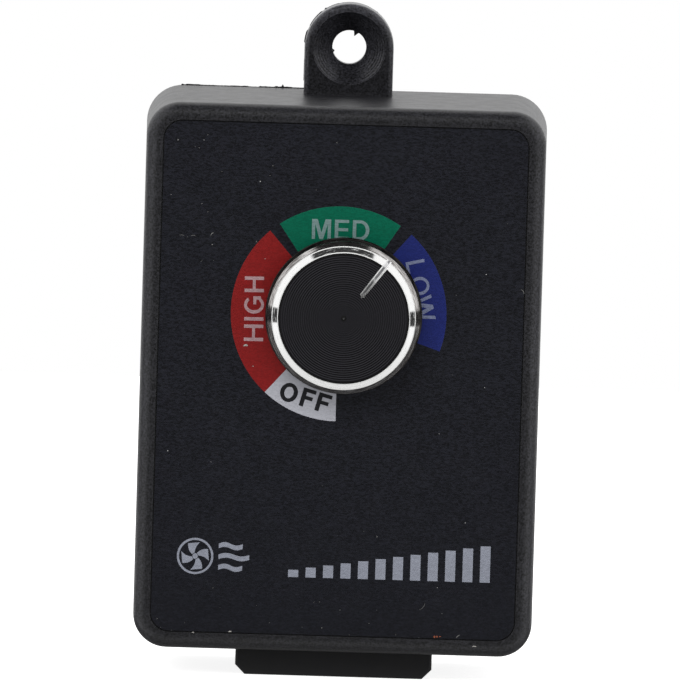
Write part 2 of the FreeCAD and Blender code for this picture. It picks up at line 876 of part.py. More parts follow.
def blade_contact(side):
    """A folded spring contact: two leaves, a bridge and a tail."""
    depth = outlet_depth + side * blade_spacing / 2
    half = leaf_width / 2
    top = outlet_top - chamber_end
    bottom = outlet_bottom + outlet_face + leaf_thickness
    near = leaf_opening / 2
    far = near + leaf_thickness
    return fused([
        block(blade_x - half, blade_x + half, depth - far, depth - near, bottom, top),
        block(blade_x - half, blade_x + half, depth + near, depth + far, bottom, top),
        block(blade_x - half, blade_x + half, depth - far, depth + far, top - leaf_thickness, top),
        block(
            blade_x - tail_width / 2, blade_x + tail_width / 2,
            depth - leaf_thickness / 2, depth + leaf_thickness / 2, top, outlet_top + tail_length),
    ])


def earth_contact():
    """The earth sleeve with its tail."""
    top = outlet_top - chamber_end
    bottom = outlet_bottom + outlet_face
    sleeve = upright(earth_x, outlet_depth, bottom, top, earth_sleeve_radius())
    bore = upright(earth_x, outlet_depth, bottom - 1, top - leaf_thickness, earth_pin_radius + fit_gap)
    slit = block(
        earth_x - leaf_opening / 4, earth_x + leaf_opening / 4, outlet_depth, outlet_front,
        bottom - 1, top - 3 * leaf_thickness)
    tail = block(
        earth_x - tail_width / 2, earth_x + tail_width / 2,
        outlet_depth - leaf_thickness / 2, outlet_depth + leaf_thickness / 2, top, outlet_top + tail_length)
    return fused([sleeve.cut([bore, slit]), tail])


def circuit_board():
    """The board, with its four fixing holes."""
    plate = block(board_left, board_right, board_rear, board_front, board_bottom, board_top)
    bore = screw_radius + screw_hole_gap
    return plate.cut([rod(x, z, board_rear - 1, board_front + 1, bore) for x, z in board_posts])


def board_screws():
    """Four pan-head screws, as one group."""
    screws = []
    for x, z in board_posts:
        head = rod(x, z, board_rear - board_head_height, board_rear, board_head_radius)
        head = head.makeFillet(board_head_height / 3, edges_at_depth(head, board_rear - board_head_height))
        neck = rod(x, z, board_rear, board_front, screw_radius)
        shank = rod(x, z, board_front, board_screw_end, screw_pilot_radius)
        slot = block(
            x - board_head_radius, x + board_head_radius, board_rear - 2 * board_head_height,
            board_rear - board_head_height / 2, z - screw_radius / 4, z + screw_radius / 4)
        screws.append(fused([head, neck, shank]).cut(slot))
    return Part.makeCompound(screws)


sink_right = board_left + sink_from_edge
sink_left = sink_right - sink_plate
sink_top = knob_z + sink_length / 2
sink_bottom = knob_z - sink_length / 2
triac_z = knob_z
triac_tab_rear = board_front + triac_stand
triac_hole_depth = triac_tab_rear + triac_body_height + (triac_tab_height - triac_body_height) / 2


def heat_sink():
    """The finned aluminium plate that stands on the board's left edge."""
    front = board_front + part_seat + sink_height
    rear = board_front
    pieces = [block(sink_left, sink_right, rear, front, sink_bottom, sink_top)]
    pitch = (sink_length - sink_fin_thickness) / (sink_fin_count - 1)
    for step in range(sink_fin_count):
        low = sink_bottom + step * pitch
        pieces.append(block(
            sink_left - sink_fin, sink_left, rear + board_thickness, front,
            low, low + sink_fin_thickness))
    hole = crosswise(sink_left - 1, sink_right + 1, triac_hole_depth, triac_z, triac_screw_radius)
    return fused(pieces).cut(hole)


def triac():
    """The power switch: metal tab, moulded body and three legs."""
    half = triac_width / 2
    tab = block(
        sink_right, sink_right + triac_tab, triac_tab_rear, triac_tab_rear + triac_tab_height,
        triac_z - half, triac_z + half)
    body = block(
        sink_right + triac_tab, sink_right + triac_body, triac_tab_rear, triac_tab_rear + triac_body_height,
        triac_z - half, triac_z + half)
    hole = crosswise(
        sink_right - 1, sink_right + triac_body, triac_hole_depth, triac_z,
        triac_screw_radius + screw_hole_gap)
    legs = []
    middle = sink_right + (triac_tab + triac_body) / 2
    for step in (-1, 0, 1):
        z = triac_z + step * triac_pitch
        legs.append(block(
            middle - triac_lead / 2, middle + triac_lead / 2, board_front, triac_tab_rear,
            z - triac_lead / 2, z + triac_lead / 2))
    return fused([tab, body] + legs).cut(hole)


def triac_screw():
    """The screw that clamps the power switch to the heat sink."""
    right = sink_right + triac_tab
    head = crosswise(right, right + board_head_height, triac_hole_depth, triac_z, board_head_radius)
    shank = crosswise(sink_left - 1, right, triac_hole_depth, triac_z, triac_screw_radius - fit_gap)
    return fused([head, shank])


def board_box(x0, z0, length_x, height, length_z, round_radius):
    """A moulded component that stands on the board, on two short legs."""
    body = block(x0, x0 + length_x, part_rear, part_rear + height, z0, z0 + length_z)
    body = body.makeFillet(round_radius, edges_at_depth(body, part_rear + height))
    legs = []
    for share in (0.2, 0.8):
        x = x0 + (length_x * share if length_x > length_z else length_x / 2)
        z = z0 + (length_z * share if length_z >= length_x else length_z / 2)
        legs.append(rod(x, z, board_front, part_rear + round_radius, component_lead))
    return fused([body] + legs)


film_x = board_right - film_width - film_from_edge
film_z = knob_z - film_length / 2


def film_capacitor():
    """The interference capacitor beside the control."""
    return board_box(film_x, film_z, film_width, film_height, film_length, film_round)


def timing_capacitor():
    """The small capacitor that sets the firing time."""
    x0 = board_right - 2 * board_margin - timing_length - 2
    z0 = board_top - timing_width - 2
    return board_box(x0, z0, timing_length, timing_height, timing_width, film_round / 3)


core_x = board_left + 2 * board_margin + core_outer + 2 * winding_wire
core_z = tail_top + core_outer + 2 * winding_wire + parts_above_tails
core_rear = part_rear + 2 * winding_wire


def choke_core():
    """The ferrite ring of the filter choke."""
    ring = rod(core_x, core_z, core_rear, core_rear + core_height, core_outer)
    return ring.cut(rod(core_x, core_z, core_rear - 1, core_rear + core_height + 1, core_inner))


def choke_winding():
    """The enamelled wire: side-by-side turns around the ring, and two legs."""
    thin = winding_wire / 2
    inner = core_inner - thin
    outer = core_outer + thin
    start = 180 - winding_span / 2
    sleeve = ring_sector(
        core_x, core_z, inner, outer, start, start + winding_span,
        core_rear - thin, core_rear + core_height + thin)
    pieces = [sleeve]
    axis_foot = Vector(core_x, 0, core_z)
    for step in range(winding_turns):
        turn = start + winding_span * (step + 0.5) / winding_turns
        bar = block(
            core_x - thin, core_x + thin, core_rear - winding_wire, core_rear + core_height + winding_wire,
            core_z + core_inner - winding_wire, core_z + core_outer + winding_wire)
        bar.rotate(axis_foot, AXIS_Y, turn)
        pieces.append(bar)
    winding = fused(pieces)
    bulk = ring_sector(
        core_x, core_z, core_inner, core_outer, start - 5, start + winding_span + 5,
        core_rear, core_rear + core_height)
    winding = winding.cut(bulk)
    legs = []
    for side in (-1, 1):
        from_middle = winding_span * (winding_turns - 1) / winding_turns / 2
        angle = math.radians(start + winding_span / 2 + side * from_middle)
        reach = core_outer + thin
        x = core_x + reach * math.sin(angle)
        z = core_z + reach * math.cos(angle)
        legs.append(rod(x, z, board_front, core_rear + winding_wire, thin))
    return fused([winding] + legs)


def axial_part(x0, x1, z, body_radius, body_length):
    """A lying component: a round body on a wire bent down at both ends."""
    depth = board_front + body_radius + component_lift
    middle = (x0 + x1) / 2
    body = crosswise(middle - body_length / 2, middle + body_length / 2, depth, z, body_radius)
    wire = crosswise(x0, x1, depth, z, component_lead)
    bend = 1.2 * component_lead
    legs = [rod(x, z, board_front, depth + bend, bend) for x in (x0, x1)]
    return fused([body, wire] + legs)


top_row = board_top - board_margin - resistor_radius
row_left = board_left + 2 * board_margin + 2


def snubber_resistor():
    """The power resistor in the top row of the board."""
    reach = resistor_length + 3
    return axial_part(row_left, row_left + reach, top_row, resistor_radius, resistor_length)


def timing_resistors():
    """Two small resistors, as one group."""
    parts = []
    x0 = row_left + resistor_length + 5
    x1 = x0 + small_resistor_length + 3
    for step in (0, 1):
        z = top_row + (1 - 2 * step) * small_resistor_radius * 1.4
        parts.append(axial_part(x0, x1, z, small_resistor_radius, small_resistor_length))
    return Part.makeCompound(parts)


def diac():
    """The trigger diode beside the power switch."""
    x0 = sink_right + triac_body + 0.6
    z = sink_top + 2
    return axial_part(x0, x0 + diac_length + 2, z, diac_radius, diac_length)


fuse_left = board_right - 2 * board_margin - fuse_length + 1
fuse_z = film_z - fuse_radius - clip_thickness - 3
fuse_depth = board_front + clip_thickness + fuse_radius + 1


def fuse():
    """A glass fuse: two metal caps and the tube between them."""
    glass_radius = fuse_radius - fuse_glass_inset
    pieces = [crosswise(fuse_left + 1, fuse_left + fuse_length - 1, fuse_depth, fuse_z, glass_radius)]
    for x in (fuse_left, fuse_left + fuse_length - fuse_cap):
        pieces.append(crosswise(x, x + fuse_cap, fuse_depth, fuse_z, fuse_radius))
    return fused(pieces)


def fuse_clips():
    """Two spring clips that hold the fuse, as one group."""
    clips = []
    for x in (fuse_left, fuse_left + fuse_length - clip_length):
        outer = crosswise(x, x + clip_length, fuse_depth, fuse_z, fuse_radius + clip_thickness)
        gap = fuse_radius * 0.6
        mouth = block(
            x - 1, x + clip_length + 1, fuse_depth, fuse_depth + 3 * fuse_radius,
            fuse_z - gap, fuse_z + gap)
        foot = block(
            x, x + clip_length, board_front, fuse_depth - fuse_radius,
            fuse_z - fuse_radius / 2, fuse_z + fuse_radius / 2)
        hollow = crosswise(x - 1, x + clip_length + 1, fuse_depth, fuse_z, fuse_radius)
        clips.append(fused([outer, foot]).cut([mouth, hollow]))
    return Part.makeCompound(clips)


varistor_x = film_x + varistor_radius
varistor_z = film_z + film_length + 1 + varistor_thickness / 2


def varistor():
    """The round surge absorber, standing on two legs."""
    lift = board_front + 2 + varistor_radius
    half = varistor_thickness / 2
    body = upright(varistor_x, lift, varistor_z - half, varistor_z + half, varistor_radius)
    rims = [e for e in body.Edges if e.BoundBox.ZLength < 1e-4]
    body = body.makeFillet(varistor_thickness / 3, rims)
    legs = []
    for side in (-1, 1):
        x = varistor_x + side * varistor_radius / 2
        legs.append(rod(x, varistor_z, board_front, lift, component_lead))
    return fused([body] + legs)


terminal_right = board_right - 2 * board_margin
terminal_left = terminal_right - 3 * terminal_pitch - 1
terminal_low = tail_top + parts_above_tails
terminal_front = board_front + terminal_height
terminal_z = terminal_low + terminal_width / 2
terminal_mouth_depth = board_front + terminal_height / 3


def terminal_spots():
    """The x of each way of the terminal block."""
    first = terminal_left + 0.5 + terminal_pitch / 2
    return [first + step * terminal_pitch for step in range(3)]


def terminal_block():
    """The three-way screw terminal block; its mouths face down."""
    body = block(
        terminal_left, terminal_right, board_front, terminal_front,
        terminal_low, terminal_low + terminal_width)
    cuts = []
    bore = terminal_screw_radius + fit_gap
    for x in terminal_spots():
        cuts.append(rod(x, terminal_z, terminal_front - terminal_screw_depth, terminal_front + 1, bore))
        cuts.append(upright(x, terminal_mouth_depth, terminal_low - 1, terminal_z, terminal_mouth))
    return body.cut(cuts)


def terminal_screws():
    """Three clamping screws, as one group."""
    screws = []
    top = terminal_front - terminal_screw_sink
    half = terminal_screw_sink / 2
    for x in terminal_spots():
        head = rod(x, terminal_z, terminal_front - terminal_screw_depth, top, terminal_screw_radius)
        slot = block(
            x - terminal_screw_radius, x + terminal_screw_radius,
            top - terminal_screw_sink, terminal_front, terminal_z - half, terminal_z + half)
        screws.append(head.cut(slot))
    return Part.makeCompound(screws)


def place(x, depth, z):
    """A point given by x, depth and height."""
    return Vector(x, -depth, z)


blade_depth = switch_rear + switch_depth / 3 + switch_blade_thickness / 2
blade_top = knob_z + switch_radius + switch_blade_reach
lug_top = knob_z + track_outer + 2 * wafer_gap + lug_blade_length
lug_depth = wafer_rear - lug_blade_thickness / 2
landing_top = board_top - lead_radius - lead_gap
landing_low = (fuse_z - fuse_radius - clip_thickness + terminal_low + terminal_width) / 2
board_parts_front = core_rear + core_height + winding_wire


def lead_supply():
    """Live lead: from the fuse round the right side to the snap switch."""
    blade = knob_x + switch_blade_spread
    side = film_x + film_width + lead_radius + lead_gap
    over = part_rear + film_height
    return routed_tube([
        place(board_right - board_margin, board_front, landing_low),
        place(board_right - board_margin, board_front + 6, landing_low),
        place(side - 1, board_front + 9, landing_low + 4),
        place(side, over - 6, landing_low + 12),
        place(side, over - 4, film_z + film_length - 4),
        place(side, over + 1.5, varistor_z),
        place(film_x + 1, over + 2, board_top - 6.5),
        place(blade + 4, blade_depth + 4, landing_top),
        place(blade, blade_depth, landing_top + 1),
        place(blade, blade_depth, blade_top),
    ], lead_radius)


def lead_switched():
    """From the snap switch's other blade back to the board."""
    blade = knob_x - switch_blade_spread
    landing = knob_x - lug_blade_pitch - 2 * lead_radius - 4 * lead_gap
    return routed_tube([
        place(blade, blade_depth, blade_top),
        place(blade, blade_depth, blade_top + 2.2),
        place(landing, blade_depth - 2, landing_top),
        place(landing, board_front, landing_top),
    ], lead_radius)


def lead_track(step):
    """From one of the control's lugs back to the top edge of the board."""
    x = knob_x + step * lug_blade_pitch
    return routed_tube([
        place(x, lug_depth, lug_top),
        place(x, lug_depth, landing_top),
        place(x, board_front, landing_top),
    ], lead_radius)


def lead_load():
    """Switched live lead: from the board over the choke to the outlet."""
    start = core_z + core_outer + winding_wire + lead_radius + lead_gap
    depth = outlet_depth - blade_spacing / 2 + leaf_thickness / 2
    front = max(board_parts_front, depth + 2 * lead_radius)
    return routed_tube([
        place(core_x - 2, board_front, start),
        place(core_x - 2, front + 1, start),
        place(core_x - 2, front + 3, core_z + 4),
        place(core_x - 1, front + 2, core_z - 6),
        place(core_x + 1, front, tail_side + 0.5),
        place(blade_x, front, tail_side),
        place(blade_x, depth, tail_side),
    ], lead_radius)


def lead_neutral():
    """Neutral lead: from the board to the outlet's front contact."""
    start = terminal_left + lead_radius + lead_gap
    depth = outlet_depth + blade_spacing / 2
    return routed_tube([
        place(start, board_front, landing_low),
        place(start, depth - 3.5, landing_low),
        place(start - 3, depth, landing_low - 4),
        place(blade_x, depth, landing_low - 8),
        place(blade_x, depth, tail_top),
    ], lead_radius)


def lead_earth():
    """Earth lead: from the board in front of the terminal block to the outlet."""
    start = terminal_spots()[1]
    front = max(terminal_front, outlet_depth) + lead_radius + 2
    return routed_tube([
        place(start, board_front, landing_low),
        place(start, front, landing_low),
        place(start - 0.3, front + 3, landing_low - 5),
        place(earth_x + 0.3, front + 3, tail_side + 4),
        place(earth_x, front + 1, tail_side),
        place(earth_x, outlet_depth + leaf_thickness / 2, tail_side),
    ], lead_radius)


NODES = {
    "front_shell": front_shell,
    "rear_cover": rear_cover,
    "cover_screws": cover_screws,
    "face_label": face_label,
    "knob_cap": knob_cap,
    "knob_core": knob_core,
    "pot_shaft": pot_shaft,
    "pot_bush": pot_bush,
    "pot_washer": pot_washer,
    "pot_nut": pot_nut,
    "pot_wafer": pot_wafer,
    "pot_track": pot_track,
    "pot_terminals": pot_terminals,
    "pot_case": pot_case,
    "pot_rotor": pot_rotor,
    "pot_wiper": pot_wiper,
    "switch_can": switch_can,
    "switch_terminals": switch_terminals,
    "outlet_body": outlet_body,
    "live_contact": lambda: blade_contact(-1),
    "neutral_contact": lambda: blade_contact(1),
    "earth_contact": earth_contact,
    "cord_grommet": cord_grommet,
    "circuit_board": circuit_board,
    "board_screws": board_screws,
    "heat_sink": heat_sink,
    "triac": triac,
    "triac_screw": triac_screw,
    "film_capacitor": film_capacitor,
    "timing_capacitor": timing_capacitor,
    "choke_core": choke_core,
    "choke_winding": choke_winding,
    "snubber_resistor": snubber_resistor,
    "timing_resistors": timing_resistors,
    "diac": diac,
    "fuse": fuse,
    "fuse_clips": fuse_clips,
    "varistor": varistor,
    "terminal_block": terminal_block,
    "terminal_screws": terminal_screws,
    "lead_supply": lead_supply,
    "lead_switched": lead_switched,
    "lead_track_end": lambda: lead_track(-1),
    "lead_track_wiper": lambda: lead_track(0),
    "lead_load": lead_load,
    "lead_neutral": lead_neutral,
    "lead_earth": lead_earth,
}


def main():
    """Build every node and write it as a STEP file."""
    os.makedirs("parts", exist_ok=True)
    shapes = {name: build() for name, build in NODES.items()}
    for name in field_angles:
        shapes[name] = dial_field(name, label_front - print_depth, label_front + print_proud)
    for name, shape in shapes.items():
        facts = (name, len(shape.Solids), shape.isValid(), shape.Volume)
        print("%-20s solids %d valid %s volume %.2f" % facts)
        shape.exportStep("parts/" + name + ".step")


main()
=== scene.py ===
"""Looks of a wall-hung fan speed control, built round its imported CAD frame.

The box, lug, face label, dial fields, knob and outlet block are CAD nodes that get
their finishes here. The words on the dial, the face symbols, the moulding flash and
the lint are pieces of their own, and each rides on the body that carries it.
"""

import json
import logging
import math
import random
from dataclasses import dataclass, field
from enum import Enum
from functools import reduce
from typing import Any, Iterable, Sequence

import bpy
from mathutils import Matrix, Vector


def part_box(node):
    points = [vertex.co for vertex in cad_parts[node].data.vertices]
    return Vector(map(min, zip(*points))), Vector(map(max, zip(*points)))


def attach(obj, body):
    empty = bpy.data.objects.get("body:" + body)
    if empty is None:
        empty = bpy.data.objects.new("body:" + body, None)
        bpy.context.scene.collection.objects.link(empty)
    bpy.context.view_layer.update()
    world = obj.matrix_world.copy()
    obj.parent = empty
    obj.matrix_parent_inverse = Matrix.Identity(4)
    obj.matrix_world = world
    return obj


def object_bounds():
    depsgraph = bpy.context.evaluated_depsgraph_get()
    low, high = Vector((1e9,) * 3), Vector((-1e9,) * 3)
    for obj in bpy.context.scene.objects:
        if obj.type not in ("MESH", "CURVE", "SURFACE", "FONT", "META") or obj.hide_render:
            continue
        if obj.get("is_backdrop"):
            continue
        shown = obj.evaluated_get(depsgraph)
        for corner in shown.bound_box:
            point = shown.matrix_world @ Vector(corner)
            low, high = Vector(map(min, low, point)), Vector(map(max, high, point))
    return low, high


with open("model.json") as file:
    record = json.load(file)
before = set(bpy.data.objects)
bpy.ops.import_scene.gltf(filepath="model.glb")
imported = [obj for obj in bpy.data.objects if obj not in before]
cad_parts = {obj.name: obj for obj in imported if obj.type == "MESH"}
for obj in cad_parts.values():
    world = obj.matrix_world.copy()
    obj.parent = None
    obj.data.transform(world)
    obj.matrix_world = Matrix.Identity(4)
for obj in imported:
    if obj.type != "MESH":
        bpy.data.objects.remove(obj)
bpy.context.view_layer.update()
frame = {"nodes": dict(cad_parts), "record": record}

logging.basicConfig(level=logging.INFO, format="%(message)s")
log = logging.getLogger("fan_control")

MM = 0.001
TOUCH = 1e-4
WHITE = (1.0, 1.0, 1.0)
BOX = "root"
Colour = tuple[float, float, float]
Point = tuple[float, float]
Loop = list[Point]
Socket = bpy.types.NodeSocket


class Grain(Enum):
    """How a moulded or printed surface is textured."""

    PITTED = "fine pits"
    LEATHER = "leather"


class Noise(Enum):
    """How busy a noise is: its detail and its roughness."""

    SOFT = (2.0, 0.5)
    FINE = (2.0, 0.6)
    EVEN = (3.0, 0.6)
    BROKEN = (3.0, 0.7)
    CLOUDY = (4.0, 0.6)
    PATCHY = (4.0, 0.65)


class Layout(Enum):
    """How a shader node group socket is typed."""

    VALUE = "NodeSocketFloat"
    COLOUR = "NodeSocketColor"


class Shader:
    """Adds nodes to one node tree, with inputs given as numbers, colours or sockets."""

    def __init__(self, tree: bpy.types.NodeTree) -> None:
        """Keeps the tree that nodes go into."""
        self.tree = tree

    def node(self, kind: str, inputs: dict[Any, Any] | None = None, **settings: Any) -> bpy.types.Node:
        """Adds one node.

        Args:
            kind: The node's type without its ShaderNode prefix.
            inputs: Values, colours or output sockets by input name or number.
            settings: Properties to set on the node.

        Returns:
            The new node.
        """
        made = self.tree.nodes.new("ShaderNode" + kind)
        for name, value in settings.items():
            setattr(made, name, value)
        for name, value in (inputs or {}).items():
            socket = made.inputs[name]
            if isinstance(value, Socket):
                self.tree.links.new(value, socket)
            elif isinstance(socket, bpy.types.NodeSocketColor):
                socket.default_value = (*value, 1.0)
            else:
                socket.default_value = value
        return made

    def link(self, value: Socket, shader: bpy.types.Node, name: str) -> None:
        """Feeds a socket into a shader's named input."""
        self.tree.links.new(value, shader.inputs[name])

    def math(self, operation: str, *values: Any, clamp: bool = False) -> Socket:
        """Adds a Math node and returns its output."""
        return self.node("Math", dict(enumerate(values)), operation=operation, use_clamp=clamp).outputs[0]

    def times(self, *values: Any) -> Socket:
        """Multiplies all the values."""
        return reduce(lambda one, other: self.math("MULTIPLY", one, other), values)

    def plus(self, *values: Any) -> Socket:
        """Adds up all the values."""
        return reduce(lambda one, other: self.math("ADD", one, other), values)

    def largest(self, *values: Any) -> Socket:
        """Picks the largest of all the values."""
        return reduce(lambda one, other: self.math("MAXIMUM", one, other), values)

    def minus(self, value: Any, taken: Any) -> Socket:
        """Takes one value from another."""
        return self.math("SUBTRACT", value, taken)

    def over(self, value: Any, divisor: Any) -> Socket:
        """Divides one value by another."""
        return self.math("DIVIDE", value, divisor)

    def unsigned(self, value: Any) -> Socket:
        """Drops the value's sign."""
        return self.math("ABSOLUTE", value)

    def inverse(self, mask: Any) -> Socket:
        """Turns a mask round."""
        return self.math("SUBTRACT", 1.0, mask)

    def above(self, value: Any, limit: Any) -> Socket:
        """Masks where the value is more than the limit."""
        return self.math("GREATER_THAN", value, limit)

    def below(self, value: Any, limit: Any) -> Socket:
        """Masks where the value is less than the limit."""
        return self.math("LESS_THAN", value, limit)

    def between(self, value: Any, low: float, high: float) -> Socket:
        """Masks where the value lies between low, just touched, and high."""
        return self.times(self.above(value, low - TOUCH), self.below(value, high))

    def away(self, x: Any, z: Any) -> Socket:
        """Measures how far a point lies from one that is x and z beside it."""
        return self.math("SQRT", self.plus(self.times(x, x), self.times(z, z)))

    def ramp(self, value: Any, low: float, high: float, start: float = 0.0, end: float = 1.0) -> Socket:
        """Adds a smooth step of value from low to high, put out from start to end."""
        limits = {"Value": value, "From Min": low, "From Max": high, "To Min": start, "To Max": end}
        return self.node("MapRange", limits, interpolation_type="SMOOTHSTEP").outputs["Result"]

    def mix(self, share: Any, first: Any, second: Any) -> Socket:
        """Mixes two colours."""
        return self.node("Mix", {0: share, 6: first, 7: second}, data_type="RGBA").outputs[2]

    def blend(self, share: Any, first: Any, second: Any) -> Socket:
        """Mixes two values."""
        return self.node("Mix", {0: share, 2: first, 3: second}, data_type="FLOAT").outputs[0]

    def tinted(self, colour: Any, factor: Any) -> Socket:
        """Multiplies a colour by a value."""
        factors = self.node("CombineXYZ", {0: factor, 1: factor, 2: factor}).outputs[0]
        return self.node("VectorMath", {0: colour, 1: factors}, operation="MULTIPLY").outputs[0]

    def millimetres(self, stretch: Sequence[float] = (1.0, 1.0, 1.0)) -> Socket:
        """Adds the object's own coordinates in millimetres, each axis times its stretch."""
        place = {0: self.node("TexCoord").outputs["Object"], 1: [share / MM for share in stretch]}
        return self.node("VectorMath", place, operation="MULTIPLY").outputs[0]

    def axes(self, vector: Any) -> Any:
        """Splits a vector into its x, y and z."""
        return self.node("SeparateXYZ", {0: vector}).outputs

    def noise(self, vector: Any, scale: Any, kind: Noise = Noise.SOFT) -> Socket:
        """Adds a noise texture and returns its value."""
        inputs = {"Vector": vector, "Scale": scale, "Detail": kind.value[0], "Roughness": kind.value[1]}
        return self.node("TexNoise", inputs).outputs["Fac"]

    def group(self, effect: "Effect", values: dict[str, Any]) -> Socket:
        """Places a shared effect with its own values and returns its output."""
        return self.node("Group", values, node_tree=effect.tree()).outputs[0]

    def bump(self, height: Any, depth: float, shader: bpy.types.Node) -> None:
        """Feeds a height, as deep as the given millimetres, into a shader's Normal."""
        made = self.node("Bump", {"Height": height, "Distance": depth * MM, "Strength": 1.0})
        self.link(made.outputs[0], shader, "Normal")

    def rays(self) -> tuple[Socket, Socket]:
        """Masks what the camera sees by itself, and what polished or clear parts show."""
        rays = self.node("LightPath").outputs
        return rays["Is Camera Ray"], self.largest(rays["Is Glossy Ray"], rays["Is Transmission Ray"])


class Effect:
    """A shader node group that several finishes share, built once."""

    name = "Effect"
    inputs: tuple[tuple[str, Layout, Any], ...] = ()
    output = ("Mask", Layout.VALUE)
    built: dict[str, bpy.types.NodeTree] = {}

    def tree(self) -> bpy.types.NodeTree:
        """Makes the group's node tree on first use.

        Returns:
            The one tree that every finish with this effect shares.
        """
        if self.name not in Effect.built:
            tree = bpy.data.node_groups.new(self.name, "ShaderNodeTree")
            for label, layout, value in self.inputs:
                socket = tree.interface.new_socket(label, in_out="INPUT", socket_type=layout.value)
                socket.default_value = value
            tree.interface.new_socket(self.output[0], in_out="OUTPUT", socket_type=self.output[1].value)
            entry = tree.nodes.new("NodeGroupInput")
            leave = tree.nodes.new("NodeGroupOutput")
            tree.links.new(self.draw(Shader(tree), entry.outputs), leave.inputs[0])
            Effect.built[self.name] = tree
        return Effect.built[self.name]

    def draw(self, s: Shader, given: Any) -> Socket:
        """Builds the group's inside. Each effect has its own."""
        raise NotImplementedError


class SparkGrain(Effect):
    """The fine pitted texture that spark erosion leaves on a moulding."""

    name = "Spark_grain"
    inputs = (("Size", Layout.VALUE, 0.3),)
    output = ("Height", Layout.VALUE)
    pit_depth = 0.4

    def draw(self, s: Shader, given: Any) -> Socket:
        """Lays rounded pits in an uneven ground.

        Args:
            s: The builder of the group's tree.
            given: The group's inputs.

        Returns:
            The grain's height.
        """
        place = s.millimetres()
        scale = s.over(1.0, given["Size"])
        ground = s.noise(place, scale, Noise.BROKEN)
        pits = s.node("TexVoronoi", {"Vector": place, "Scale": scale}).outputs["Distance"]
        return s.plus(ground, s.times(pits, self.pit_depth))


class LeatherGrain(Effect):
    """The embossed, mostly level wrinkles of a grained face film."""

    name = "Leather_grain"
    inputs = (("Size", Layout.VALUE, 0.5),)
    output = ("Height", Layout.VALUE)
    drawn_out = (0.36, 1.0, 1.0)
    bend = 0.7
    softness = 0.6
    fine_share = 0.5
    fineness = 2.6

    def draw(self, s: Shader, given: Any) -> Socket:
        """Lays bent cells and noise, both drawn out sideways.

        Args:
            s: The builder of the group's tree.
            given: The group's inputs.

        Returns:
            The grain's height.
        """
        place = s.millimetres(self.drawn_out)
        scale = s.over(1.0, given["Size"])
        wander = s.node("TexNoise", {"Vector": place, "Scale": scale, "Detail": 2.0}).outputs["Color"]
        moved = s.node("VectorMath", {0: wander, "Scale": self.bend}, operation="SCALE").outputs[0]
        bent = s.node("VectorMath", {0: place, 1: moved}, operation="ADD").outputs[0]
        inputs = {"Vector": bent, "Scale": scale, "Smoothness": self.softness}
        cells = s.node("TexVoronoi", inputs, feature="SMOOTH_F1").outputs["Distance"]
        fine = s.noise(place, s.times(scale, self.fineness), Noise.FINE)
        return s.plus(cells, s.times(fine, self.fine_share))


class Dust(Effect):
    """Small pale specks lying here and there."""

    name = "Dust"
    inputs = (("Spacing", Layout.VALUE, 2.5), ("Amount", Layout.VALUE, 0.3), ("Size", Layout.VALUE, 0.1))
    uneven_scale = 9.0
    uneven_by = 0.06
    least_size = 0.6
    margin = 0.03
    faintest = 0.25

    def draw(self, s: Shader, given: Any) -> Socket:
        """Lays one speck in some of the cells, of uneven size and outline.

        Args:
            s: The builder of the group's tree.
            given: The group's inputs.

        Returns:
            A mask of the specks, lower where they are fainter.
        """
        place = s.millimetres()
        cells = s.node("TexVoronoi", {"Vector": place, "Scale": s.over(1.0, given["Spacing"])}).outputs
        chance = s.node("SeparateColor", {0: cells["Color"]}).outputs
        kept = s.below(chance[0], given["Amount"])
        near = s.times(cells["Distance"], given["Spacing"])
        near = s.plus(near, s.times(s.noise(place, self.uneven_scale), self.uneven_by))
        reach = s.times(given["Size"], s.plus(self.least_size, chance[1]))
        inside = s.below(near, s.plus(reach, self.margin))
        faint = s.plus(self.faintest, s.times(chance[2], 1.0 - self.faintest))
        return s.times(kept, inside, faint)


class Scuffs(Effect):
    """Faint rubbed patches and short dull marks from handling."""

    name = "Scuffs"
    inputs = (("Size", Layout.VALUE, 6.0), ("Amount", Layout.VALUE, 0.4))
    patch_limits = (0.5, 0.72)
    streak_lay = (0.8, 1.0, 2.2)
    streak_scale = 1.3
    streak_limits = (0.45, 0.75)

    def draw(self, s: Shader, given: Any) -> Socket:
        """Breaks up patches with fine streaks.

        Args:
            s: The builder of the group's tree.
            given: The group's inputs.

        Returns:
            A mask of the scuffs.
        """
        patch = s.noise(s.millimetres(), s.over(1.0, given["Size"]), Noise.PATCHY)
        streak = s.noise(s.millimetres(self.streak_lay), self.streak_scale, Noise.BROKEN)
        patches, streaks = s.ramp(patch, *self.patch_limits), s.ramp(streak, *self.streak_limits)
        return s.times(patches, streaks, given["Amount"])


class ToneDrift(Effect):
    """Slow, slight changes of a colour over a surface."""

    name = "Tone_drift"
    inputs = (
        ("Colour", Layout.COLOUR, (0.5, 0.5, 0.5, 1.0)),
        ("Size", Layout.VALUE, 12.0),
        ("Amount", Layout.VALUE, 0.15),
    )
    output = ("Colour", Layout.COLOUR)

    def draw(self, s: Shader, given: Any) -> Socket:
        """Multiplies the colour by one plus or minus the amount.

        Args:
            s: The builder of the group's tree.
            given: The group's inputs.

        Returns:
            The drifting colour.
        """
        drift = s.noise(s.millimetres(), s.over(1.0, given["Size"]), Noise.EVEN)
        swing = s.times(s.minus(drift, 0.5), given["Amount"])
        return s.tinted(given["Colour"], s.plus(1.0, s.times(swing, 2.0)))


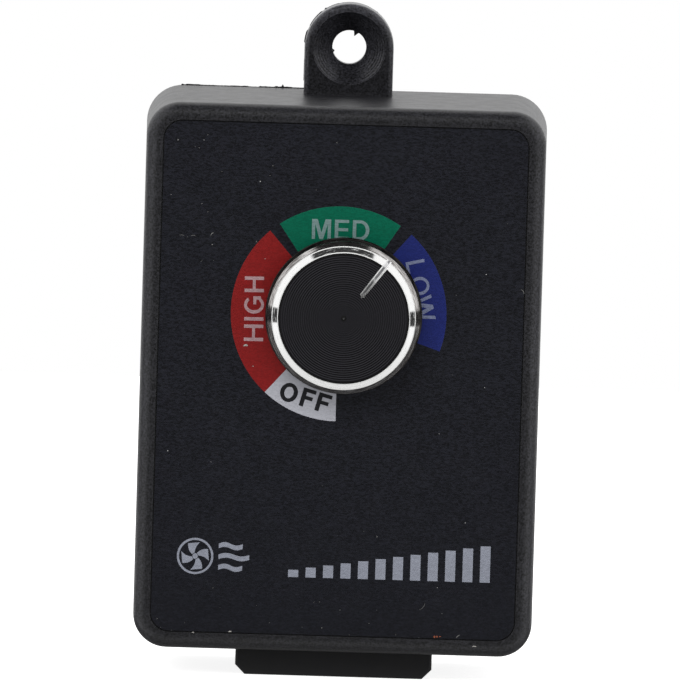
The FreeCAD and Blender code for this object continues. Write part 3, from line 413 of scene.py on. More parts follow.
class EdgeWearAndHighlight(Effect):
    """A mask of edges, where a moulding or turning is rubbed a little paler, and where a painted highlight
    stands in for the light that edges catch.
    """

    name = "Edge_wear_and_highlight"
    inputs = (("Width", Layout.VALUE, 0.25), ("Amount", Layout.VALUE, 0.5))
    lean_limits = (0.985, 0.86)
    break_scale = 1.1
    break_limits = (0.25, 0.7)

    def draw(self, s: Shader, given: Any) -> Socket:
        """Measures how far the rounded normal leans from the true one.

        Args:
            s: The builder of the group's tree.
            given: The group's inputs.

        Returns:
            A broken mask of the edges.
        """
        soft = s.node("Bevel", {"Radius": s.times(given["Width"], MM)}, samples=4).outputs[0]
        true = s.node("NewGeometry").outputs["Normal"]
        lean = s.node("VectorMath", {0: soft, 1: true}, operation="DOT_PRODUCT").outputs["Value"]
        # Edges are paled partly by wear and partly as a painted highlight.
        wear_and_highlight = s.ramp(lean, *self.lean_limits)
        broken = s.ramp(s.noise(s.millimetres(), self.break_scale, Noise.BROKEN), *self.break_limits)
        return s.times(wear_and_highlight, broken, given["Amount"])


def empty_material(name: str) -> tuple[bpy.types.Material, Shader]:
    """Makes a material without any nodes.

    Args:
        name: The material's name.

    Returns:
        The material and its shader builder.
    """
    made = bpy.data.materials.new(name)
    made.use_nodes = True
    made.node_tree.nodes.clear()
    return made, Shader(made.node_tree)


def new_material(slot: str) -> tuple[bpy.types.Material, Shader, bpy.types.Node]:
    """Makes an empty material with a Principled shader on its output.

    Args:
        slot: The material's name.

    Returns:
        The material, its shader builder and its Principled node.
    """
    made, s = empty_material(slot)
    shader = s.node("BsdfPrincipled")
    s.node("OutputMaterial", {"Surface": shader.outputs[0]})
    return made, s, shader


@dataclass(frozen=True)
class Moulding:
    """A moulded, printed or dipped plastic or rubber surface."""

    colour: Colour
    roughness: float = 0.45
    grain_size: float = 0.3
    grain_depth: float = 0.02
    specular: float = 0.5
    dust: float = 0.0
    dust_size: float = 0.07
    dust_colour: Colour = (0.42, 0.42, 0.41)
    scuff: float = 0.1
    edge: float = 0.15
    drift: float = 0.1
    tone: float = 0.0
    tone_limits: Point = (0.42, 0.98)
    # The paler colour of scuffs and edges; on edges it is partly a painted highlight.
    wear_and_highlight_gain: float = 1.6
    wear_and_highlight_lift: float = 0.04
    dull_swing: float = 0.025
    dull_scale: float = 0.35
    dull_limits: Point = (0.3, 0.7)
    grain: Grain = Grain.PITTED

    def build(self, slot: str) -> bpy.types.Material:
        """Makes the material.

        Args:
            slot: The record's material slot or the piece's finish, which names the material.

        Returns:
            The finished material.
        """
        made, s, shader = new_material(slot)
        effect = LeatherGrain() if self.grain is Grain.LEATHER else SparkGrain()
        height = self.grain_height(s, s.group(effect, {"Size": self.grain_size}))
        base = s.group(ToneDrift(), {"Colour": self.colour, "Amount": self.drift})
        if self.tone:
            base = s.tinted(base, s.ramp(height, *self.tone_limits, 1.0 - self.tone, 1.0 + self.tone))
        # Scuffs are real wear; edges are paled partly by wear and partly as a painted highlight.
        edges = s.group(EdgeWearAndHighlight(), {"Amount": self.edge})
        wear_and_highlight = s.largest(s.group(Scuffs(), {"Amount": self.scuff}), edges)
        colour = s.mix(wear_and_highlight, base, [min(1.0, c * self.wear_and_highlight_gain + self.wear_and_highlight_lift) for c in self.colour])
        if self.dust:
            specks = s.group(Dust(), {"Amount": self.dust, "Size": self.dust_size})
            colour = s.mix(specks, colour, self.dust_colour)
        s.link(self.shaded(s, colour), shader, "Base Color")
        dull = s.noise(s.millimetres(), self.dull_scale, Noise.CLOUDY)
        smoothest, roughest = self.roughness - self.dull_swing, self.roughness + self.dull_swing
        rough = s.ramp(dull, *self.dull_limits, smoothest, roughest)
        height, rough = self.vary(s, height, rough)
        s.link(rough, shader, "Roughness")
        shader.inputs["Specular IOR Level"].default_value = self.specular
        s.bump(height, self.grain_depth, shader)
        return made

    def vary(self, s: Shader, height: Any, rough: Any) -> tuple[Any, Any]:
        """Leaves grain and roughness as they are; a finish with a special place changes them there."""
        return height, rough

    def grain_height(self, s: Shader, height: Any) -> Any:
        """Leaves the grain as even as it is."""
        return height

    def shaded(self, s: Shader, colour: Any) -> Any:
        """Leaves the colour as it is."""
        return colour


@dataclass(frozen=True)
class Ink(Moulding):
    """A screen-printed ink, which shows the face film's grain."""

    roughness: float = 0.42
    grain_size: float = 0.25
    grain_depth: float = 0.012
    specular: float = 0.2
    tone: float = 0.12
    grain: Grain = Grain.LEATHER


@dataclass(frozen=True)
class Insulation(Moulding):
    """The smooth covering of a lead."""

    roughness: float = 0.4
    grain_size: float = 0.5
    grain_depth: float = 0.01


@dataclass(frozen=True)
class Fluff(Moulding):
    """The dull stuff of lint and crumbs."""

    roughness: float = 0.8
    grain_size: float = 0.2
    grain_depth: float = 0.01
    specular: float = 0.2


@dataclass(frozen=True)
class FaceFilm(Moulding):
    """The face label's film, with a flatter grain low on the face."""

    grain: Grain = Grain.LEATHER
    grain_middle: float = 0.70
    flat_below: float = -42.0
    full_above: float = -4.0
    flat_share: float = 0.45

    def grain_height(self, s: Shader, height: Any) -> Any:
        """Draws the grain toward its middle where the film lies flatter.

        Args:
            s: The shader builder.
            height: The even grain.

        Returns:
            The grain as it varies up the face.
        """
        up = s.axes(s.millimetres())[2]
        share = s.ramp(up, self.flat_below, self.full_above, self.flat_share, 1.0)
        return s.blend(share, self.grain_middle, height)


@dataclass(frozen=True)
class LugMoulding(Moulding):
    """The box's moulding, with painted light on the box's sides, on the lug's faces and rim and in the
    countersink, and turned rings in the countersink.
    """

    sink_x: float = 0.0
    sink_z: float = 56.68
    sink_radius: float = 6.4
    sink_back: float = 9.0
    sink_front: float = 12.55
    sink_roughness: float = 0.30
    # The tints below paint light and shade on the countersink, the lug and the box's sides.
    sink_light_tints: Point = (1.45, 1.85)
    sink_half: float = 2.5
    floor_half: Point = (0.4, 3.2)
    sink_middle_shade: float = 0.62
    ring_pitch: float = 0.42
    ring_scale: float = 0.6
    ring_limits: Point = (0.35, 0.65)
    ring_depths: Point = (0.1, 0.5)
    lug_drop: float = 7.68
    lug_rise: float = 5.5
    lug_roughness: float = 0.29
    lug_light_tints: Point = (0.85, 2.1)
    lug_side_light: float = 2.8
    lug_rim_highlight: float = 2.0
    lug_rim_highlight_wide: float = 1.0
    side_light_tints: Point = (0.92, 1.5)
    side_limits: Point = (0.1, 0.6)
    front_limits: Point = (-0.97, -0.55)

    def shaded(self, s: Shader, colour: Any) -> Any:
        """Paints light and shade: the sides a little paler than the front, the lug's top, sides and rim paler
        still, and the countersink paler low down and darker near its middle.

        Args:
            s: The shader builder.
            colour: The moulding's colour.

        Returns:
            The colour as it varies over the box, the lug and the countersink.
        """
        normal = s.axes(s.node("NewGeometry").outputs["Normal"])
        x, z, sink = self.sink_place(s)
        # Painted light: sides that face left or right are paler than the front.
        side_light = s.ramp(s.unsigned(normal[0]), *self.side_limits, *self.side_light_tints)
        # Painted highlight on the lug's rim round the countersink.
        rim = s.ramp(s.unsigned(x), self.sink_radius, self.sink_radius + self.lug_rim_highlight_wide)
        # Painted light on the lug: its front paler toward the top, its sides paler still.
        lug_front_light = s.largest(s.ramp(z, 0.0, self.lug_rise, *self.lug_light_tints), s.times(rim, self.lug_rim_highlight))
        lug_light = s.blend(s.ramp(normal[1], *self.front_limits), lug_front_light, self.lug_side_light)
        # Painted reflections in the countersink: paler low down, darker near its middle.
        sink_light = s.ramp(z, self.sink_half, -self.sink_half, *self.sink_light_tints)
        sink_light = s.times(sink_light, s.ramp(s.unsigned(x), *self.floor_half, self.sink_middle_shade, 1.0))
        lug = s.above(z, -self.lug_drop)
        return s.tinted(colour, s.blend(lug, side_light, s.blend(sink, lug_light, sink_light)))

    def vary(self, s: Shader, height: Any, rough: Any) -> tuple[Any, Any]:
        """Puts fine rings and a smoother surface into the countersink.

        Args:
            s: The shader builder.
            height: The grain's height.
            rough: The roughness.

        Returns:
            Height and roughness with the countersink in them.
        """
        x, z, sink = self.sink_place(s)
        rings = s.math("SINE", s.times(s.away(x, z), 2.0 * math.pi / self.ring_pitch))
        uneven = s.noise(s.millimetres(), self.ring_scale, Noise.FINE)
        turned = s.times(rings, s.ramp(uneven, *self.ring_limits, *self.ring_depths))
        rough = s.blend(s.above(z, -self.lug_drop), rough, self.lug_roughness)
        return s.blend(sink, height, turned), s.blend(sink, rough, self.sink_roughness)

    def sink_place(self, s: Shader) -> tuple[Any, Any, Any]:
        """Finds the countersink.

        Args:
            s: The shader builder.

        Returns:
            The distances to the right of and above the hole's axis, and a mask of the countersink.
        """
        place = s.axes(s.millimetres())
        x, z = s.minus(place[0], self.sink_x), s.minus(place[2], self.sink_z)
        deep = s.between(place[1], -self.sink_front, -self.sink_back)
        return x, z, s.times(s.below(s.away(x, z), self.sink_radius), deep)


@dataclass(frozen=True)
class Sheet:
    """A metal surface: plated, drawn, extruded or turned."""

    colour: Colour
    roughness: float = 0.3
    stain: float = 0.2
    lay: Sequence[float] = (1.0, 1.0, 1.0)
    lay_size: float = 0.2
    lay_depth: float = 0.006
    lay_limits: Point = (0.3, 0.7)
    smoother: float = 0.08
    rougher: float = 0.1
    stain_size: float = 1.6
    stain_shade: float = 0.55
    drift_size: float = 3.0
    drift: float = 0.12

    def build(self, slot: str) -> bpy.types.Material:
        """Makes the material.

        Args:
            slot: The record's material slot.

        Returns:
            The finished material.
        """
        made, s, shader = new_material(slot)
        base = s.group(ToneDrift(), {"Colour": self.colour, "Size": self.drift_size, "Amount": self.drift})
        spots = s.group(Scuffs(), {"Size": self.stain_size, "Amount": self.stain})
        stained = s.mix(spots, base, [c * self.stain_shade for c in self.colour])
        s.link(self.shaded(s, stained), shader, "Base Color")
        shader.inputs["Metallic"].default_value = 1.0
        lines = s.noise(s.millimetres(self.lay), 1.0 / self.lay_size, Noise.EVEN)
        limits = (*self.lay_limits, self.roughness - self.smoother, self.roughness + self.rougher)
        s.link(s.ramp(lines, *limits), shader, "Roughness")
        s.bump(lines, self.lay_depth, shader)
        return made

    def shaded(self, s: Shader, colour: Any) -> Any:
        """Leaves the colour as it is."""
        return colour


@dataclass(frozen=True)
class SlottedSteel(Sheet):
    """Plated steel, with painted shade down in the crossed slots of the rear cover's screws."""

    head_depth: float = 0.9
    slot_floor: float = 1.9
    margin: float = 0.04
    # Painted shade for the slots.
    slot_shade: Colour = (0.05, 0.05, 0.05)

    def shaded(self, s: Shader, colour: Any) -> Any:
        """Paints shade on what lies between the heads' faces and the floors of their slots.

        Args:
            s: The shader builder.
            colour: The plated steel's colour.

        Returns:
            The colour with dark slots.
        """
        depth = s.times(s.axes(s.millimetres())[1], -1.0)
        # Painted shade down in the slots.
        sunk = s.between(depth, self.head_depth + self.margin, self.slot_floor + self.margin)
        return s.mix(sunk, colour, self.slot_shade)


@dataclass(frozen=True)
class ClearGlass:
    """Thin tinted glass of small electrical parts."""

    colour: Colour
    roughness: float = 0.05
    clearness: float = 0.8
    ior: float = 1.5
    drift_size: float = 4.0
    drift: float = 0.1

    def build(self, slot: str) -> bpy.types.Material:
        """Makes the material.

        Args:
            slot: The record's material slot.

        Returns:
            The finished material.
        """
        made, s, shader = new_material(slot)
        tint = s.group(ToneDrift(), {"Colour": self.colour, "Size": self.drift_size, "Amount": self.drift})
        s.link(tint, shader, "Base Color")
        shader.inputs["Roughness"].default_value = self.roughness
        shader.inputs["Transmission Weight"].default_value = self.clearness
        shader.inputs["IOR"].default_value = self.ior
        return made


@dataclass(frozen=True)
class KnobPlace:
    """Where a point lies on the knob: right of, above and away from the axis, and behind the face."""

    x: Socket
    z: Socket
    radius: Socket
    drop: Socket


@dataclass(frozen=True)
class TurnedCap:
    """The knob's metal: black turned face, cut pointer, two bright cut bevels and a dark side."""

    centre_x: float
    centre_z: float
    face: float
    flush: float = 0.02
    seam: float = 0.01
    shoulder_drop: float = 1.0
    rim_drop: float = 1.85
    face_radius: float = 11.5
    face_border: float = 0.05
    shoulder_radius: float = 12.61
    pitch: float = 0.385
    ring_depth: float = 0.011
    plain_radii: Point = (1.5, 8.5)
    dark_edge: float = 0.32
    pip_radius: float = 0.17
    pip_border: float = 0.50
    pip_start: float = 0.1
    cut_line: float = 0.15
    pointer_angle: float = 37.0
    pointer_start: float = 5.3
    pointer_taper: float = 5.5
    pointer_end: float = 12.85
    pointer_half: float = 0.425
    pointer_tip: float = 0.36
    pointer_wall: float = 0.03
    lip: float = 0.075
    bright: Colour = (0.97, 0.97, 0.965)
    # Pale colour of the cut lines, and also of the painted highlight round the pointer.
    cut: Colour = (0.80, 0.80, 0.79)
    # Dark and pale tones of the face's rings; the pale one is a painted sheen.
    ring_sheen_tones: tuple[Colour, Colour] = ((0.0010, 0.0010, 0.0016), (0.0215, 0.0208, 0.0250))
    # A dark ring round the centre pip, and a painted glint on the pip.
    pip_ring_and_glint_tones: tuple[Colour, Colour] = ((0.0035, 0.0035, 0.0035), (0.045, 0.045, 0.045))
    edge_tone: Colour = (0.003, 0.003, 0.003)
    side_tones: tuple[Colour, Colour] = ((0.05, 0.045, 0.042), (0.34, 0.32, 0.31))
    bevel_tones: tuple[Colour, Colour] = ((0.13, 0.12, 0.115), (0.66, 0.64, 0.63))
    pointer_tones: tuple[Colour, Colour] = ((0.25, 0.25, 0.26), (0.85, 0.85, 0.86))
    # Painted highlight along the pointer's edges.
    pointer_edge_highlight: Colour = (0.98, 0.98, 0.98)
    groove_tone: Colour = (0.006, 0.006, 0.006)
    speck_tone: Colour = (0.5, 0.5, 0.5)
    speck_look: Sequence[float] = (3.4, 0.25, 0.05)
    plain_share: float = 0.08
    least_radius: float = 0.5
    lay_scales: Point = (5.0, 4.5)
    uneven_scale: float = 2.6
    uneven_limits: Sequence[float] = (0.25, 0.75, 0.55, 1.0)
    pip_depth: float = 4.0
    hair_depth: float = 0.5
    steep_limits: Sequence[float] = (0.2, 0.8, 0.25, 1.0)
    contrast: float = 0.75
    streak_limits: Point = (0.38, 0.62)
    scratch_limits: Sequence[float] = (0.57, 0.66, 0.0, 0.85)
    patch_limits: Point = (0.42, 0.58)
    patch_scale: float = 0.6
    edge_highlight_limits: Point = (0.42, 0.62)
    face_roughness: float = 0.24
    bevel_roughnesses: Point = (0.07, 0.13)

    def build(self, slot: str) -> bpy.types.Material:
        """Makes the material from the distance to the knob's axis.

        Args:
            slot: The record's material slot.

        Returns:
            The finished material.
        """
        made, s, shader = new_material(slot)
        at = self.place(s)
        inside = s.below(at.radius, self.face_radius - self.face_border)
        on_face = s.times(s.below(at.drop, self.flush), inside)
        on_second = s.above(at.drop, self.shoulder_drop + self.seam)
        ring, hair = self.rings(s, at), self.hair(s, at)
        s.bump(self.relief(s, at, on_face, ring, hair), self.ring_depth, shader)
        scratch = s.times(self.scratches(s, at, hair), s.inverse(s.largest(on_second, on_face)))
        metal = s.mix(scratch, self.bevels(s, at, on_second, hair), self.cut)
        colour = s.mix(on_face, metal, self.black_face(s, at, ring))
        groove, colour = self.pointer(s, at, on_face, colour)
        specks = s.group(Dust(), dict(zip(("Spacing", "Amount", "Size"), self.speck_look)))
        s.link(s.mix(specks, colour, self.speck_tone), shader, "Base Color")
        s.link(s.inverse(s.largest(on_face, scratch, specks, groove)), shader, "Metallic")
        bevel_roughness = s.blend(on_second, *self.bevel_roughnesses)
        s.link(s.blend(on_face, bevel_roughness, self.face_roughness), shader, "Roughness")
        return made

    def place(self, s: Shader) -> KnobPlace:
        """Measures from the knob's axis and face.

        Args:
            s: The shader builder.

        Returns:
            The place of each point of the knob, in millimetres.
        """
        place = s.axes(s.millimetres())
        x, z = s.minus(place[0], self.centre_x), s.minus(place[2], self.centre_z)
        return KnobPlace(x, z, s.away(x, z), s.plus(place[1], self.face))

    def rings(self, s: Shader, at: KnobPlace) -> Socket:
        """Turns rings round the face, shallow in its middle."""
        wave = s.math("SINE", s.times(at.radius, 2.0 * math.pi / self.pitch))
        return s.times(wave, s.ramp(at.radius, *self.plain_radii, self.plain_share, 1.0))

    def hair(self, s: Shader, at: KnobPlace) -> Socket:
        """Draws fine lines that run round the knob, as a lathe leaves them.

        Args:
            s: The shader builder.
            at: The place on the knob.

        Returns:
            A value that changes quickly across the lines and slowly along them.
        """
        over = s.over(self.lay_scales[0], s.largest(at.radius, self.least_radius))
        across = s.times(s.plus(at.radius, at.drop), self.lay_scales[1])
        lay = s.node("CombineXYZ", {0: s.times(at.x, over), 1: s.times(at.z, over), 2: across})
        return s.noise(lay.outputs[0], 1.0, Noise.BROKEN)

    def relief(self, s: Shader, at: KnobPlace, on_face: Any, ring: Any, hair: Any) -> Socket:
        """Gives the face uneven rings and a centre pip, and the bevels their hair lines.

        Args:
            s: The shader builder.
            at: The place on the knob.
            on_face: A mask of the black face.
            ring: The face's rings.
            hair: The fine lines.

        Returns:
            The height.
        """
        spread = s.node("CombineXYZ", {0: at.radius, 1: 0.0, 2: 0.0}).outputs[0]
        uneven = s.ramp(s.noise(spread, self.uneven_scale, Noise.BROKEN), *self.uneven_limits)
        pip = s.ramp(at.radius, self.pip_start, self.pip_border, -self.pip_depth, 0.0)
        return s.blend(on_face, s.times(hair, self.hair_depth), s.plus(s.times(ring, uneven), pip))

    def black_face(self, s: Shader, at: KnobPlace, ring: Any) -> Socket:
        """Colours the black face, with a painted sheen on its rings that is strongest above and below the
        middle.

        Args:
            s: The shader builder.
            at: The place on the knob.
            ring: The face's rings.

        Returns:
            The face's colour.
        """
        steep = s.over(s.unsigned(at.z), s.largest(at.radius, self.least_radius))
        # Painted sheen on the rings, strongest above and below the middle.
        ring_sheen = s.times(ring, s.ramp(steep, *self.steep_limits))
        black = s.mix(s.ramp(ring_sheen, -self.contrast, self.contrast), *self.ring_sheen_tones)
        # A dark ring round the centre pip, and a painted glint on the pip.
        for limit, tone in zip((self.pip_border, self.pip_radius), self.pip_ring_and_glint_tones):
            black = s.mix(s.below(at.radius, limit), black, tone)
        edge = s.between(at.radius, self.face_radius - self.dark_edge, self.face_radius - self.face_border)
        return s.mix(edge, black, self.edge_tone)

    def bevels(self, s: Shader, at: KnobPlace, on_second: Any, hair: Any) -> Socket:
        """Colours the bright first bevel, the streaked second one and the dark side.

        Args:
            s: The shader builder.
            at: The place on the knob.
            on_second: A mask of all that lies behind the first bevel.
            hair: The fine lines.

        Returns:
            The metal's colour.
        """
        streaks = s.ramp(hair, *self.streak_limits)
        metal = s.mix(on_second, self.bright, s.mix(streaks, *self.bevel_tones))
        return s.mix(s.above(at.drop, self.rim_drop + self.seam), metal, s.mix(streaks, *self.side_tones))

    def scratches(self, s: Shader, at: KnobPlace, hair: Any) -> Socket:
        """Marks the cut lines at the first bevel's edges and the deepest hair lines on it.

        Args:
            s: The shader builder.
            at: The place on the knob.
            hair: The fine lines.

        Returns:
            A mask of the lines.
        """
        face_line = s.between(at.radius, self.face_radius, self.face_radius + self.cut_line)
        outside = self.shoulder_radius + self.face_border
        lip_line = s.between(at.radius, self.shoulder_radius - self.cut_line, outside)
        return s.largest(face_line, lip_line, s.ramp(hair, *self.scratch_limits))

    def pointer(self, s: Shader, at: KnobPlace, on_face: Any, colour: Any) -> tuple[Socket, Socket]:
        """Cuts the tapered pointer, with a painted highlight on its edges and on a thin outline round it on
        the face, and an uneven grey middle painted paler to make up for the groove's shade.

        Args:
            s: The shader builder.
            at: The place on the knob.
            on_face: A mask of the black face.
            colour: The colour round the pointer.

        Returns:
            A mask of the groove, and the colour with the pointer in it.
        """
        sine, cosine = math.sin(math.radians(self.pointer_angle)), math.cos(math.radians(self.pointer_angle))
        along = s.plus(s.times(at.x, sine), s.times(at.z, cosine))
        across = s.minus(s.times(at.x, cosine), s.times(at.z, sine))
        off = s.away(across, s.largest(s.minus(self.pointer_start, along), 0.0))
        sunk = s.times(s.above(at.drop, self.flush), s.below(at.radius, self.pointer_end))
        groove = s.times(s.below(off, self.pointer_half + self.pointer_wall), sunk)
        taper_end = self.pointer_start + self.pointer_taper
        half = s.ramp(along, self.pointer_start, taper_end, self.pointer_tip, self.pointer_half)
        inner = s.times(groove, s.below(off, s.plus(half, self.pointer_wall)))
        outline = s.times(on_face, s.below(off, s.plus(half, self.lip)))
        patches = s.ramp(s.noise(s.millimetres(), self.patch_scale), *self.patch_limits)
        # Grey floor of the groove, painted paler to make up for its shade.
        grey = s.mix(patches, *self.pointer_tones)
        # Painted highlight along the pointer's edges.
        grey = s.mix(s.ramp(s.over(off, half), *self.edge_highlight_limits), grey, self.pointer_edge_highlight)
        # Painted highlight: the pale outline round the groove on the face.
        for mask, tone in ((groove, self.groove_tone), (inner, grey), (outline, self.cut)):
            colour = s.mix(mask, colour, tone)
        return groove, colour


def knob_finish() -> TurnedCap:
    """Places the knob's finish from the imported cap.

    Returns:
        The finish.
    """
    low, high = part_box("knob_cap")
    centre = (low + high) / 2 / MM
    return TurnedCap(centre.x, centre.z, -low.y / MM)


def finishes() -> dict[str, Any]:
    """Lists the finish of each of the record's material slots.

    Returns:
        The finishes by slot.
    """
    dusted = {"dust": 0.05, "scuff": 0.03}
    table = {
        "housing": LugMoulding(
            (0.0125, 0.0125, 0.0150), 0.38, 0.36, 0.026, 0.6,
            dust=0.12, dust_size=0.06, scuff=0.25, edge=0.35, drift=0.2, tone=1.0),
        "cover": Moulding(
            (0.0105, 0.0105, 0.0120), 0.45, 0.28, dust=0.08, dust_size=0.06, scuff=0.25, tone=0.3),
        "label": FaceFilm(
            (0.0073, 0.0078, 0.0116), 0.40, 0.25, specular=0.3, dust=0.22, edge=0.1, tone=0.6),
        "ink_white": Ink((0.385, 0.39, 0.43), 0.45, specular=0.4, scuff=0.08, tone=0.06),
        "ink_red": Ink((0.200, 0.0075, 0.0075), **dusted),
        "ink_green": Ink((0.0003, 0.105, 0.058), specular=0.12, **dusted),
        "ink_blue": Ink((0.0100, 0.0170, 0.122), **dusted),
        "knob_metal": knob_finish(),
        "knob_plastic": Moulding((0.02, 0.02, 0.02), 0.5),
        "outlet": Moulding((0.0125, 0.0125, 0.0138), 0.36, 0.5, 0.008, dust=0.04, scuff=0.12),
        "rubber": Moulding((0.016, 0.016, 0.016), 0.6, 0.25, specular=0.35),
        "steel": SlottedSteel((0.60, 0.60, 0.60), 0.34),
        "nickel": Sheet((0.70, 0.69, 0.66), 0.2),
        "brass": Sheet((0.72, 0.55, 0.24), 0.28, 0.35),
        "phenolic": Moulding((0.22, 0.11, 0.05), 0.5, 0.4, 0.01),
        "carbon": Moulding((0.015, 0.015, 0.015), 0.6, 0.1, 0.01),
        "board": Moulding((0.03, 0.16, 0.06), 0.32, 0.9, 0.01),
        "aluminium": Sheet((0.78, 0.79, 0.80), 0.36, 0.1, lay=(1.0, 1.0, 0.05)),
        "epoxy": Moulding((0.02, 0.02, 0.02), 0.55, 0.15, 0.01),
        "film_box": Moulding((0.72, 0.50, 0.06), 0.3, 0.6, 0.01),
        "ferrite": Moulding((0.05, 0.05, 0.052), 0.6, 0.2),
        "enamel": Sheet((0.52, 0.20, 0.07), 0.25, 0.1),
        "resistor": Moulding((0.42, 0.33, 0.20), 0.4, 0.4, 0.01),
        "glass_red": ClearGlass((0.85, 0.45, 0.3)),
        "varistor_blue": Moulding((0.02, 0.08, 0.32), 0.25, 0.8),
        "terminal": Moulding((0.04, 0.22, 0.09), 0.4, 0.4, 0.01),
    }
    insulation = {
        "black": (0.02, 0.02, 0.02), "white": (0.62, 0.62, 0.60),
        "green": (0.02, 0.22, 0.06), "grey": (0.14, 0.14, 0.145)}
    for name, colour in insulation.items():
        table["lead_" + name] = Insulation(colour)
    return table


def arc(x: float, y: float, rx: float, ry: float, start: float, end: float, steps: int) -> Loop:
    """Returns points along an ellipse from start to end degrees, anticlockwise if end is more."""
    turns = [math.radians(start + (end - start) * k / steps) for k in range(steps + 1)]
    return [(x + rx * math.cos(t), y + ry * math.sin(t)) for t in turns]


def ring_loop(x: float, y: float, radius: float, steps: int = 72) -> Loop:
    """Returns the points of a whole circle."""
    return arc(x, y, radius, radius, 0, 360, steps)[:-1]


@dataclass(frozen=True)
class Alphabet:
    """Bold plain capitals, drawn one unit high."""

    stem: float = 0.195
    bar: float = 0.165
    bulge: float = 0.515
    crossbar: float = 0.43
    steps: int = 28

    def glyph(self, letter: str, width: float) -> list[Loop]:
        """Draws a letter.

        Args:
            letter: One of the capitals that the dial words use.
            width: The letter's width in cap heights.

        Returns:
            The outer loop first, then the hole.
        """
        return getattr(self, "draw_" + letter)(width)

    def draw_H(self, w: float) -> list[Loop]:
        """Outline of H."""
        s, low, high = self.stem, self.crossbar, self.crossbar + self.bar
        return [[
            (0, 0), (s, 0), (s, low), (w - s, low), (w - s, 0), (w, 0),
            (w, 1), (w - s, 1), (w - s, high), (s, high), (s, 1), (0, 1)]]

    def draw_I(self, w: float) -> list[Loop]:
        """Outline of I."""
        return [[(0, 0), (w, 0), (w, 1), (0, 1)]]

    def draw_L(self, w: float) -> list[Loop]:
        """Outline of L."""
        s, b = self.stem, self.bar
        return [[(0, 0), (w, 0), (w, b), (s, b), (s, 1), (0, 1)]]

    def draw_E(self, w: float) -> list[Loop]:
        """Outline of E."""
        s, b, low = self.stem, self.bar, self.crossbar
        return [[
            (0, 0), (w, 0), (w, b), (s, b), (s, low), (w - 0.06, low), (w - 0.06, low + b),
            (s, low + b), (s, 1 - b), (w - 0.02, 1 - b), (w - 0.02, 1), (0, 1)]]

    def draw_F(self, w: float) -> list[Loop]:
        """Outline of F."""
        s, b, low = self.stem, self.bar, 0.4
        return [[
            (0, 0), (s, 0), (s, low), (w - 0.09, low), (w - 0.09, low + b), (s, low + b),
            (s, 1 - b), (w, 1 - b), (w, 1), (0, 1)]]

    def draw_M(self, w: float) -> list[Loop]:
        """Outline of M."""
        s, half = self.stem * 0.93, w / 2
        return [[
            (0, 0), (s, 0), (s, 0.76), (half - 0.09, 0), (half + 0.09, 0), (w - s, 0.76),
            (w - s, 0), (w, 0), (w, 1), (w - 0.28, 1), (half, 0.33), (0.28, 1), (0, 1)]]

    def draw_W(self, w: float) -> list[Loop]:
        """Outline of W."""
        s, foot, half = self.stem * 1.03, w * 0.25, w / 2
        return [[
            (0, 1), (s, 1), (foot, 0.3), (half - 0.1, 1), (half + 0.1, 1), (w - foot, 0.3),
            (w - s, 1), (w, 1), (w - foot + 0.11, 0), (w - foot - 0.11, 0), (half, 0.66),
            (foot + 0.11, 0), (foot - 0.11, 0)]]

    def draw_D(self, w: float) -> list[Loop]:
        """Draws D.

        Args:
            w: The letter's width in cap heights.

        Returns:
            Its outline and its hole.
        """
        s, b, reach = self.stem, self.bar, w * 0.56
        centre = w - reach
        outer = [(0, 0)] + arc(centre, 0.5, reach, 0.5, -90, 90, self.steps) + [(0, 1)]
        inner = [(s, b)] + arc(centre, 0.5, reach - s, 0.5 - b, -90, 90, self.steps) + [(s, 1 - b)]
        return [outer, inner]

    def draw_O(self, w: float) -> list[Loop]:
        """Draws O.

        Args:
            w: The letter's width in cap heights.

        Returns:
            Its outline and its hole.
        """
        half, steps = w / 2, 2 * self.steps
        outer = arc(half, 0.5, half, self.bulge, 0, 360, steps)[:-1]
        inner = arc(half, 0.5, half - self.stem, self.bulge - self.bar, 0, 360, steps)[:-1]
        return [outer, inner]

    def draw_G(self, w: float) -> list[Loop]:
        """Draws G.

        Args:
            w: The letter's width in cap heights.

        Returns:
            Its outline.
        """
        half, s, b, right, shelf_top = w / 2, self.stem, self.bar, w - 0.02, 0.54
        outer = arc(half, 0.5, half, self.bulge, 38, 318, 2 * self.steps)
        shelf = [(right, 0.16), (right, shelf_top), (half + 0.02, shelf_top), (half + 0.02, shelf_top - b),
                 (right - s, shelf_top - b), (right - s, 0.26)]
        inner = arc(half, 0.5, half - s, self.bulge - b, 310, 44, 2 * self.steps)
        return [outer + shelf + inner]


def flat_piece(name: str, loops: Iterable[Loop], front: float, thick: float) -> bpy.types.Object:
    """Makes a thin flat piece that faces forward.

    Args:
        name: The piece's name.
        loops: Outlines and holes as x and z in millimetres.
        front: How far the piece's front lies from the wall, in millimetres.
        thick: The piece's thickness in millimetres.

    Returns:
        A mesh object in the part's frame.
    """
    curve = bpy.data.curves.new(name, "CURVE")
    curve.dimensions, curve.fill_mode = "2D", "BOTH"
    curve.extrude = thick / 2 * MM
    for loop in loops:
        spline = curve.splines.new("POLY")
        spline.points.add(len(loop) - 1)
        for point, (x, z) in zip(spline.points, loop):
            point.co = (x * MM, z * MM, 0.0, 1.0)
        spline.use_cyclic_u = True
    source = bpy.data.objects.new(name + "_outline", curve)
    bpy.context.scene.collection.objects.link(source)
    graph = bpy.context.evaluated_depsgraph_get()
    mesh = bpy.data.meshes.new_from_object(source.evaluated_get(graph))
    bpy.data.objects.remove(source)
    bpy.data.curves.remove(curve)
    forward = Matrix.Translation((0, -(front - thick / 2) * MM, 0))
    mesh.transform(forward @ Matrix.Rotation(math.pi / 2, 4, "X"))
    mesh.name = name
    return placed(name, mesh)


